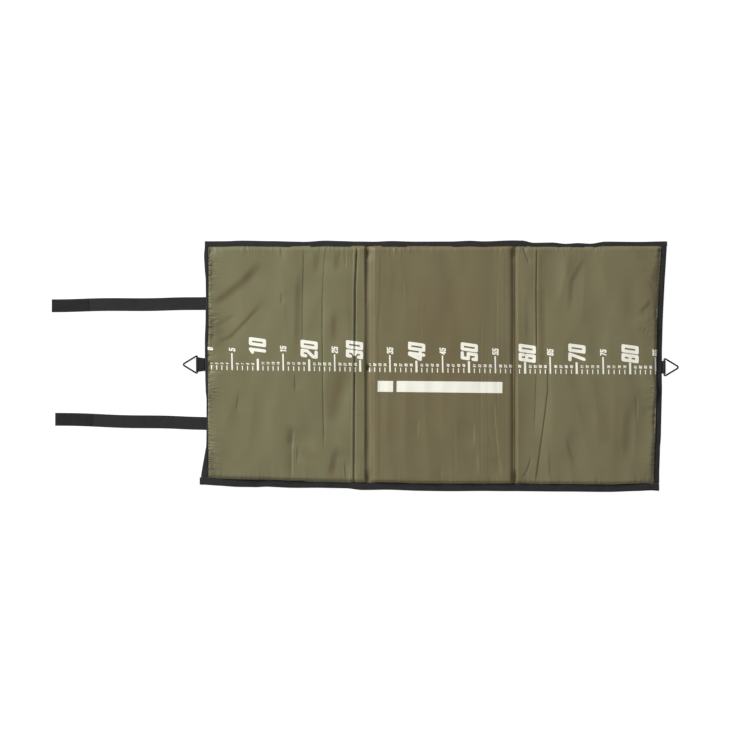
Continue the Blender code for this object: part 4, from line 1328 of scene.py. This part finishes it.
# %% Webbing
def band(name, path, half_width, thickness=WEBBING, edges=0.0006, bulge=0.12, widening=1.0):
    """A flat band along a path. Its section is wide along Y and has rounded sides that are a little fuller.
    widening is one factor, or one for each point of the path.
    """
    across = np.array([0.0, 1.0, 0.0])
    normal = unit(np.cross(unit(np.gradient(path, axis=0)), across))
    flat = np.linspace(-1, 1, 15) * (half_width - edges)
    turn = np.linspace(np.pi / 2, -np.pi / 2, 7)[1:-1]
    right = half_width - edges + edges * np.cos(turn)
    left = edges - half_width - edges * np.cos(turn[::-1])
    a = np.concatenate([flat, right, flat[::-1], left])
    b = np.concatenate([np.ones(15), np.sin(turn), -np.ones(15), np.sin(turn[::-1])])
    full = 1 + bulge * np.exp(-(((half_width - np.abs(a)) / 0.0016) ** 2))
    b = b * full * thickness / 2 / (1 + bulge)
    wide = a * np.reshape(widening, (-1, 1))
    points, faces, ends = tube(path[:, None] + across * wide[..., None] + normal[:, None] * b[:, None])
    weave = xyz(distances(path)[:, None], a, 0).reshape(-1, 3)
    return solid(name, points, faces, webbing_cloth, 60, ends, weave=weave)


STRAPS = {
    "back": {"root": (-0.45354, 0.1197), "tip": (-0.7485, 0.1159), "phase": 0.4},
    "front": {"root": (-0.45343, -0.1111), "tip": (-0.7419, -0.1029), "phase": 2.2},
}
STRAP_HALF = 0.0125
STRAP_NEAR = 0.0516
HOOK_LENGTH = 0.070


def strap_path(strap, x):
    """The strap's centre line: a slight sway in plan, and a low wave that ends at the stiff hook tape."""
    (root_x, root_y), (tip_x, tip_y) = strap["root"], strap["tip"]
    share = (root_x - x) / (root_x - tip_x)
    free = smooth(share / 0.25)
    y = root_y + (tip_y - root_y) * share + 0.0006 * free * np.sin(x / 0.027 + strap["phase"])
    soft = free * smooth((x - tip_x - HOOK_LENGTH - 0.004) / 0.03)
    z = WEBBING / 2 + 0.0005 * soft * (1 + np.sin(x / 0.021 + 2 * strap["phase"]))
    return xyz(x, y, z)


for name, strap in STRAPS.items():
    short, long = f"{name}_strap_short", f"{name}_strap_long"
    root_x, tip_x = strap["root"][0], strap["tip"][0]
    bend_x, cut_x = root_x - STRAP_NEAR, root_x - STRAP_NEAR / 2
    root = band(f"strap_{name}_root", strap_path(strap, np.linspace(root_x + 0.0115, cut_x, 46)), STRAP_HALF)
    nodes = (f"strap_{name}_tail", f"strap_{name}_near")
    bend(root, "left_panel", short, root_x + 0.0005, root_x - 0.006, "webbing", *nodes)
    run = band(f"strap_{name}_run", strap_path(strap, np.linspace(cut_x, tip_x, 190)), STRAP_HALF)
    bend(run, short, long, bend_x + 0.004, bend_x - 0.004, "webbing", f"strap_{name}_far")

# %% [markdown]
# Hook tape is sewn on each strap's end. Its hooks are tiny bent rods, eighteen faces each, repeated over a
# grid. The matching loop tape is under the middle panel, where the wrapped straps end up.

# %% Hook and loop tape
HOOK_BASE_HALF, HOOK_BASE = 0.0115, 0.0006
HOOK_HEIGHT, HOOK_RADIUS = 0.0009, 0.00013
HOOK_ROWS_HALF, HOOK_MARGIN = 0.0098, 0.0016
HOOK_SEAM = 0.0107


def hook_rods(places):
    """Bent rods at some places: four-sided, rising and curling over towards +X."""
    share = np.linspace(0, 1, 5)
    centre = xyz(0.45 * HOOK_HEIGHT * share**3, 0, HOOK_HEIGHT * np.sin(share * 1.9))
    rod = centre[:, None] + np.array([(-1, -1, 0), (1, -1, 0), (1, 1, 0), (-1, 1, 0)]) * HOOK_RADIUS
    index = np.arange(20).reshape(5, 4)
    after = np.roll(index, -1, axis=1)
    faces = np.stack([index[:-1], after[:-1], after[1:], index[1:]], -1).reshape(-1, 4)
    faces = np.concatenate([faces, [[3, 2, 1, 0], [16, 17, 18, 19]]])
    points = (rod.reshape(1, -1, 3) + places[:, None]).reshape(-1, 3)
    return points, (faces + np.arange(len(places))[:, None, None] * 20).reshape(-1, 4)


for name, strap in STRAPS.items():
    body = f"{name}_strap_long"
    start, end = strap["tip"][0] + 0.001, strap["tip"][0] + 0.001 + HOOK_LENGTH
    path = strap_path(strap, np.linspace(start, end, 60)) + np.array([0, 0, WEBBING / 2 + 0.00035])
    base = band(f"hook_base_{name}", path, HOOK_BASE_HALF, HOOK_BASE, 0.0003, 0.0)
    wear(base, body, "hook_and_loop", f"hook_patch_{name}")
    across = np.linspace(-HOOK_ROWS_HALF, HOOK_ROWS_HALF, 15)
    x, y = lattice(np.linspace(start + HOOK_MARGIN, end - HOOK_MARGIN, 46), across)
    x = x + 0.0004 * (np.arange(15) % 2)
    points, faces = hook_rods(strap_path(strap, x.ravel()) + xyz(0, y.ravel(), 0.0011))
    wear(solid(f"hooks_{name}", points, faces, hooks_mat, 30), body, "hook_and_loop")
    rows = [stitch_row(path + np.array([0, way * HOOK_SEAM, 0.0003])) for way in (-1, 1)]
    wear(stitches(f"hook_stitches_{name}", rows, black_thread, FINE_THREAD), body, "hook_and_loop")

for name, centre in zip(STRAPS, LOOP_Y):
    u, v = lattice(np.linspace(*LOOP_X, 97), np.linspace(-LOOP_HALF, LOOP_HALF, 27))
    fuzz = 0.0001 * np.sin(u / 0.0011 + 3 * np.sin(v / 0.002)) * np.sin(v / 0.0009)
    round_off = smooth((LOOP_HALF - np.abs(v)) / 0.001)
    lower = xyz(u, centre + v, 0.00030 - 0.00015 * round_off + fuzz)
    piece = solid(f"loops_{name}", *closed_sheet(xyz(u, centre + v, 0.0009), lower), loops_mat, 60)
    wear(piece, "middle_panel", "hook_and_loop", f"loop_patch_{name}")

# %% [markdown]
# Each wire ring is a bent triangle with rounded corners. Its centre line is three arcs joined by straight
# runs, and a round section is carried round it. The tab is one band of webbing looped round the ring's bar.

# %% Rings and tabs
BAR_Z = 0.0029
WIRE = 0.0033  # a little thicker than the solid's, which is nearer to its look in the photograph
RING_HALF, RING_REACH = 0.0176, 0.0291
TAB_HALF = 0.0123
RINGS = {
    "left": {"bar": (-0.4681, 0.0023), "way": -1, "back": 0.0110, "wall": -0.4518},
    "right": {"bar": (0.4300, -0.0029), "way": 1, "back": 0.0024, "wall": 0.4243},
}


def ring_line(way):
    """Centre line of the triangle: an arc of twelve points at each of its corners."""
    corners = [((0, -RING_HALF), 0.0020), ((way * RING_REACH, 0), 0.0026), ((0, RING_HALF), 0.0020)]
    line = []
    for k, (corner, radius) in enumerate(corners):
        here = np.array(corner, float)
        before = unit(np.array(corners[k - 1][0], float) - here)
        after = unit(np.array(corners[(k + 1) % 3][0], float) - here)
        half = math.acos(float(before @ after)) / 2
        centre = here + unit(before + after) * radius / math.sin(half)
        start = here + before * radius / math.tan(half) - centre
        end = here + after * radius / math.tan(half) - centre
        sweep = np.linspace(0, 1, 12)[:, None]
        arc = start * (1 - sweep) + end * sweep
        line.append(centre + radius * unit(arc))
    return np.concatenate(line)


def wire_ring(name, ring):
    """A round section carried round the closed line, tipped so that its apex rests on the ground.
    The line gets more points at even steps, so that its straight runs aren't single faces.
    """
    flat = ring_line(ring["way"])
    closed = np.concatenate([flat, flat[:1]])
    s = distances(closed)
    line = points_along(closed, np.unique(np.concatenate([s[:-1], np.linspace(0, s[-1], 73)[:-1]])))
    step = unit(np.roll(line, -1, axis=0) - np.roll(line, 1, axis=0))
    turn = np.linspace(0, 2 * np.pi, 16, endpoint=False)
    radius = WIRE / 2
    x = line[:, :1] + step[:, 1:] * radius * np.cos(turn)
    y = line[:, 1:] - step[:, :1] * radius * np.cos(turn)
    z = radius * np.sin(turn) + 0 * x
    reach = np.abs(flat[:, 0]).max()
    tip = ring["way"] * math.asin((BAR_Z - radius) / reach)
    bar_x, bar_y = ring["bar"]
    sine, cosine = math.sin(tip), math.cos(tip)
    tipped = xyz(bar_x + x * cosine + z * sine, bar_y + y, BAR_Z - x * sine + z * cosine)
    index = np.arange(x.size).reshape(x.shape)
    around, ahead = np.roll(index, -1, axis=1), np.roll(index, -1, axis=0)
    faces = np.stack([index, ahead, np.roll(ahead, -1, axis=1), around], -1).reshape(-1, 4)
    return solid(f"wire_ring_{name}", tipped.reshape(-1, 3), faces, wire_mat, 60)


def tab_path(ring):
    """Side view of the tab: flat under the hem, round the bar, and back on itself."""
    bar_x, bar_y = ring["bar"]
    way = ring["way"]
    radius = BAR_Z - WEBBING / 2
    x = [ring["wall"] - way * share * 0.011 for share in (1.0, 0.75, 0.5, 0.25, 0.0)]
    z = [WEBBING / 2] * 5
    turn = np.linspace(-math.pi / 2, math.radians(150), 16)
    x += [bar_x + way * radius * math.cos(a) for a in turn]
    z += [BAR_Z + radius * math.sin(a) for a in turn]
    start = (x[-1], z[-1])
    low = WEBBING * 1.5 + GAP * 2
    for share in (0.25, 0.5, 0.75, 1.0):
        x.append(start[0] - way * ring["back"] * share)
        z.append(start[1] + (low - start[1]) * float(smooth(share)))
    return xyz(x, bar_y, z)


for name, ring in RINGS.items():
    wear(wire_ring(name, ring), f"{name}_ring", "ring_wire", f"ring_{name}")
    path = tab_path(ring)
    out = (path[:, 0] - ring["wall"]) * ring["way"]
    wider = 1 + 0.13 * smooth((out - 0.005) / 0.008)
    tab = band(f"ring_tab_band_{name}", path, TAB_HALF, WEBBING, 0.0005, 0.08, wider)
    wear(tab, f"{name}_panel", "webbing", f"ring_tab_{name}")

# %% [markdown]
# The ruler's numbers are drawn here as thick strokes. A glyph is a set of centre lines, and the ink is every
# point within half a stroke of them. A grid of small cells is laid over the glyph, the points near the
# outline are moved onto it, and the cells that are left inside make a clean-edged patch.

# %% Number shapes
LEFT_U, RIGHT_U, BOTTOM_V, TOP_V = 0.095, 0.380, 0.095, 0.905
LOW_LEFT, LOW_RIGHT = (LEFT_U, BOTTOM_V), (RIGHT_U, BOTTOM_V)
HIGH_LEFT, HIGH_RIGHT = (LEFT_U, TOP_V), (RIGHT_U, TOP_V)
BOX = [LOW_LEFT, HIGH_LEFT, HIGH_RIGHT, LOW_RIGHT, LOW_LEFT]
HALF_STROKE = 0.095
ADVANCE = 0.520
SLANT = 0.14
GLYPHS = {
    "0": [BOX],
    "1": [[(0.30, BOTTOM_V), (0.30, TOP_V), (0.14, 0.80)]],
    "2": [[(LEFT_U, 0.70), HIGH_LEFT, HIGH_RIGHT, (RIGHT_U, 0.60), (LEFT_U, 0.28), LOW_LEFT, LOW_RIGHT]],
    "3": [
        [(LEFT_U, 0.74), HIGH_LEFT, HIGH_RIGHT, (RIGHT_U, 0.58), (0.22, 0.50)],
        [(0.22, 0.50), (RIGHT_U, 0.42), LOW_RIGHT, LOW_LEFT, (LEFT_U, 0.26)],
    ],
    "4": [[(0.33, BOTTOM_V), (0.33, TOP_V), (0.26, TOP_V), (0.06, 0.29), (0.44, 0.29)]],
    "5": [[HIGH_RIGHT, HIGH_LEFT, (LEFT_U, 0.56), (RIGHT_U, 0.56), LOW_RIGHT, LOW_LEFT, (LEFT_U, 0.28)]],
    "6": [[(RIGHT_U, 0.73), HIGH_RIGHT, HIGH_LEFT, LOW_LEFT, LOW_RIGHT, (RIGHT_U, 0.53), (LEFT_U, 0.53)]],
    "7": [[(0.05, TOP_V), HIGH_RIGHT, (0.19, BOTTOM_V)]],
    "8": [BOX, [(LEFT_U, 0.50), (RIGHT_U, 0.50)]],
    "9": [[(RIGHT_U, 0.47), (LEFT_U, 0.47), HIGH_LEFT, HIGH_RIGHT, LOW_RIGHT, LOW_LEFT, (LEFT_U, 0.27)]],
}


def ink_distance(text, u, v):
    """Distance to the ink of a number, negative inside it. u reads along the number, v goes up it."""
    best = np.full(u.shape, 9.0)
    for place, digit in enumerate(text):
        for line in GLYPHS[digit]:
            for (u0, v0), (u1, v1) in zip(line, line[1:]):
                a0, a1 = u0 + place * ADVANCE, u1 + place * ADVANCE
                length = (a1 - a0) ** 2 + (v1 - v0) ** 2
                t = np.clip(((u - a0) * (a1 - a0) + (v - v0) * (v1 - v0)) / length, 0, 1)
                best = np.minimum(best, np.hypot(u - a0 - t * (a1 - a0), v - v0 - t * (v1 - v0)))
    return best - HALF_STROKE


def number_patch(text, x_px, y_px, height_px, cell):
    """A flat patch of ink in the shape of a number that reads up the picture from its corner (x_px, y_px)."""
    height = height_px * PIXEL
    step = cell / height
    wide, reach = ADVANCE * len(text), 0.72 * step
    u, v = lattice(np.arange(-0.03, wide, step), np.arange(-0.03, 1.03 + step, step))
    f = ink_distance(text, u, v)
    gu, gv = np.gradient(f, step)
    size = np.maximum(gu**2 + gv**2, 0.2)
    near = np.abs(f) < reach
    u, v = np.where(near, u - f * gu / size, u), np.where(near, v - f * gv / size, v)
    quads = grid_quads(*f.shape)
    corners = f.ravel()[quads]
    quads = quads[(corners.max(1) < reach) & (corners.min(1) < -0.15 * step)]
    used, faces = np.unique(quads, return_inverse=True)
    x0, y0 = at_px(x_px, y_px)
    x = x0 - v.ravel()[used] * height
    y = y0 + (u + SLANT * v).ravel()[used] * height
    return x, y, faces.reshape(-1, 4)


def bar_patch(corners, cell):
    """A four-cornered patch given by its corners in pixels: low left, low right, high right, high left."""
    x, y = at_px(*np.array(corners, float).T)
    columns = max(2, round(abs(x[1] - x[0]) / cell) + 1)
    rows = max(2, round(abs(y[3] - y[0]) / cell) + 1)
    s, t = np.linspace(0, 1, columns)[:, None], np.linspace(0, 1, rows)[None, :]
    low = [c[0] * (1 - s) + c[1] * s for c in (x, y)]
    high = [c[3] * (1 - s) + c[2] * s for c in (x, y)]
    gx, gy = (a * (1 - t) + b * t for a, b in zip(low, high))
    return gx.ravel(), gy.ravel(), grid_quads(columns, rows)


# %% [markdown]
# Now the ruler itself. Marks stand at every centimetre, longest at the fives and thickest at the tens, with
# numbers over them in three sizes. All the patches of one panel are laid on its cover, a sixth of a
# millimetre proud, and made one thin closed piece. The two label places under the ruler stay plain blocks
# of ink.

# %% Printed ruler
# Pixel columns of some centimetre marks, and pixel rows of the ruler's line at some columns.
MARK_AT = {
    0: 206.6, 5: 232.3, 10: 258.1, 15: 283.4, 20: 309.4, 25: 334.9, 30: 360.3, 31: 369.6, 35: 390.1,
    40: 416.5, 45: 442.7, 50: 469.0, 55: 495.4, 58: 510.5, 59: 519.5, 60: 525.1, 65: 550.2, 70: 576.6,
    75: 603.1, 80: 630.0, 85: 655.5,
}
BASE_AT = {
    205: 369.6, 232: 370.1, 300: 370.9, 390: 372.1, 470: 372.9, 525: 373.6, 600: 374.1, 655: 374.4,
}
# Where the big numbers start, in pixels.
BIG = {
    10: (266.2, 356.4), 20: (317.8, 359.0), 30: (363.1, 359.5), 40: (425.2, 361.0),
    50: (477.8, 361.6), 60: (535.7, 363.1), 70: (585.3, 362.8), 80: (638.4, 363.5),
}
CENTIMETRES = {"left": range(1, 31), "middle": range(31, 59), "right": range(59, 86)}
# Half width and height in pixels of the marks at tens, at fives and at the other centimetres.
MARKS = {10: (1.05, 11.6), 5: (0.72, 17.0), 1: (0.48, 4.5)}
INK_ABOVE, INK_BELOW = 0.00016, 0.0001


def read(table, place):
    """A value between those of a table, in a straight line."""
    return float(np.interp(place, list(table), list(table.values())))


def print_patches(name):
    """All ink patches of one panel."""
    found = []
    for cm in CENTIMETRES[name]:
        centre = read(MARK_AT, cm)
        base = read(BASE_AT, centre)
        kind = next(kind for kind in MARKS if cm % kind == 0)
        half, tall = MARKS[kind]
        top, lean = base - tall, 0.02 * tall
        corners = [(centre - half, base), (centre + half, base)]
        corners += [(centre + half - lean, top), (centre - half - lean, top)]
        found.append(bar_patch(corners, 0.0012))
        if kind == 10:
            found.append(number_patch(str(cm), *BIG[cm], 17.2, 0.0006))
        elif kind == 5:
            low = top - (0.9 if cm > 5 else 1.6)
            found.append(number_patch(str(cm), centre + 3.1, low, 6.4, 0.0004))
        else:
            found.append(number_patch(str(cm), centre + 1.5, base - 5.6, 2.9, 0.0003))
    if name == "left":
        found.append(number_patch("0", 213.0, 350.4, 5.8, 0.0004))
    return found


def on_cover(name, x, y):
    """Z of the cover's mesh at any point, from the four corners of the cell that holds it."""
    s, t, z = COVERS[name]
    x_low, x_high = cover_ends(name, y)
    y_low, y_high = cover_sides(x)
    u = np.interp((x - x_low) / (x_high - x_low), s, np.arange(len(s)))
    v = np.interp((y - y_low) / (y_high - y_low), t, np.arange(len(t)))
    i, j = np.clip(u.astype(int), 0, len(s) - 2), np.clip(v.astype(int), 0, len(t) - 2)
    a, b = u - i, v - j
    before = z[i, j] * (1 - b) + z[i, j + 1] * b
    return before * (1 - a) + (z[i + 1, j] * (1 - b) + z[i + 1, j + 1] * b) * a


def printed(name, piece_name, patches):
    """The patches laid on the cover and closed with a lower face just under its surface."""
    starts = np.cumsum([0] + [len(x) for x, _, _ in patches])
    count = starts[-1]
    x, y = (np.concatenate([patch[k] for patch in patches]) for k in range(2))
    quads = np.concatenate([patch[2] + first for patch, first in zip(patches, starts)])
    z = on_cover(name, x, y)
    edges = np.concatenate([quads[:, [k, (k + 1) % 4]] for k in range(4)])
    key = edges.min(1) * count + edges.max(1)
    _, first, counts = np.unique(key, return_index=True, return_counts=True)
    rim = edges[first[counts == 1]]
    points = np.concatenate([xyz(x, y, z + INK_ABOVE), xyz(x, y, z - INK_BELOW)])
    sides = np.stack([rim[:, 1], rim[:, 0], rim[:, 0] + count, rim[:, 1] + count], -1)
    all_faces = np.concatenate([quads, quads[:, ::-1] + count, sides])
    wear(solid(piece_name, points, all_faces, ink, 40), f"{name}_panel", "cover_cloth")


for panel in PANELS:
    printed(panel, f"ruler_{panel}", print_patches(panel))

LABELS = [
    [(377.6, 391.7), (393.0, 391.9), (393.2, 381.0), (377.8, 380.8)],
    [(396.5, 391.9), (502.2, 393.1), (502.3, 381.9), (396.7, 380.9)],
]
printed("middle", "label_blocks", [bar_patch(corners, 0.0022) for corners in LABELS])

# %% [markdown]
# The floor is pale by its own glow, like a light table. Its surface is dark, so the mat leaves hardly any
# shadow on it. One large lamp shines low across the mat from its back left corner, which brings the folds
# out. A weaker one opposite and a pale sky fill the shadows.

# %% Floor and light
glow = {"Emission_Color": (1, 1, 1, 1), "Emission_Strength": 0.94}
floor_shader = Shader("pale_floor", 0.9, Specular_IOR_Level=0.1, **glow)
speck = floor_shader.noise(floor_shader.place(), 3.0, 2.0)
floor_mat = floor_shader.finish(floor_shader.mix(speck, (0.15, 0.15, 0.15), (0.17, 0.17, 0.17)))
grid = np.linspace(-6, 6, 9)
floor = plain_object("floor", xyz(*lattice(grid, grid), -0.0002), grid_quads(9, 9))
floor.data.materials.append(floor_mat)


def lamp(name, place, size, power):
    """A soft square lamp that faces the mat's middle."""
    data = bpy.data.lights.new(name, "AREA")
    data.size, data.energy = size, power
    made = bpy.data.objects.new(name, data)
    made.location = place
    way = unit(-np.array(place))
    pitch = math.acos(-way[2])
    made.rotation_euler = (pitch, 0, math.atan2(way[1], way[0]) - math.pi / 2)
    bpy.context.scene.collection.objects.link(made)


lamp("key", (-4.5, 3.3, 3.3), 2.0, 570)
lamp("fill", (2.0, -1.2, 3.6), 3.0, 32)
world = bpy.context.scene.world or bpy.data.worlds.new("world")
bpy.context.scene.world = world
world.use_nodes = True
world.node_tree.nodes["Background"].inputs[0].default_value = (1, 1, 1, 1)
world.node_tree.nodes["Background"].inputs[1].default_value = 0.30
bpy.context.scene.view_settings.view_transform = "Standard"
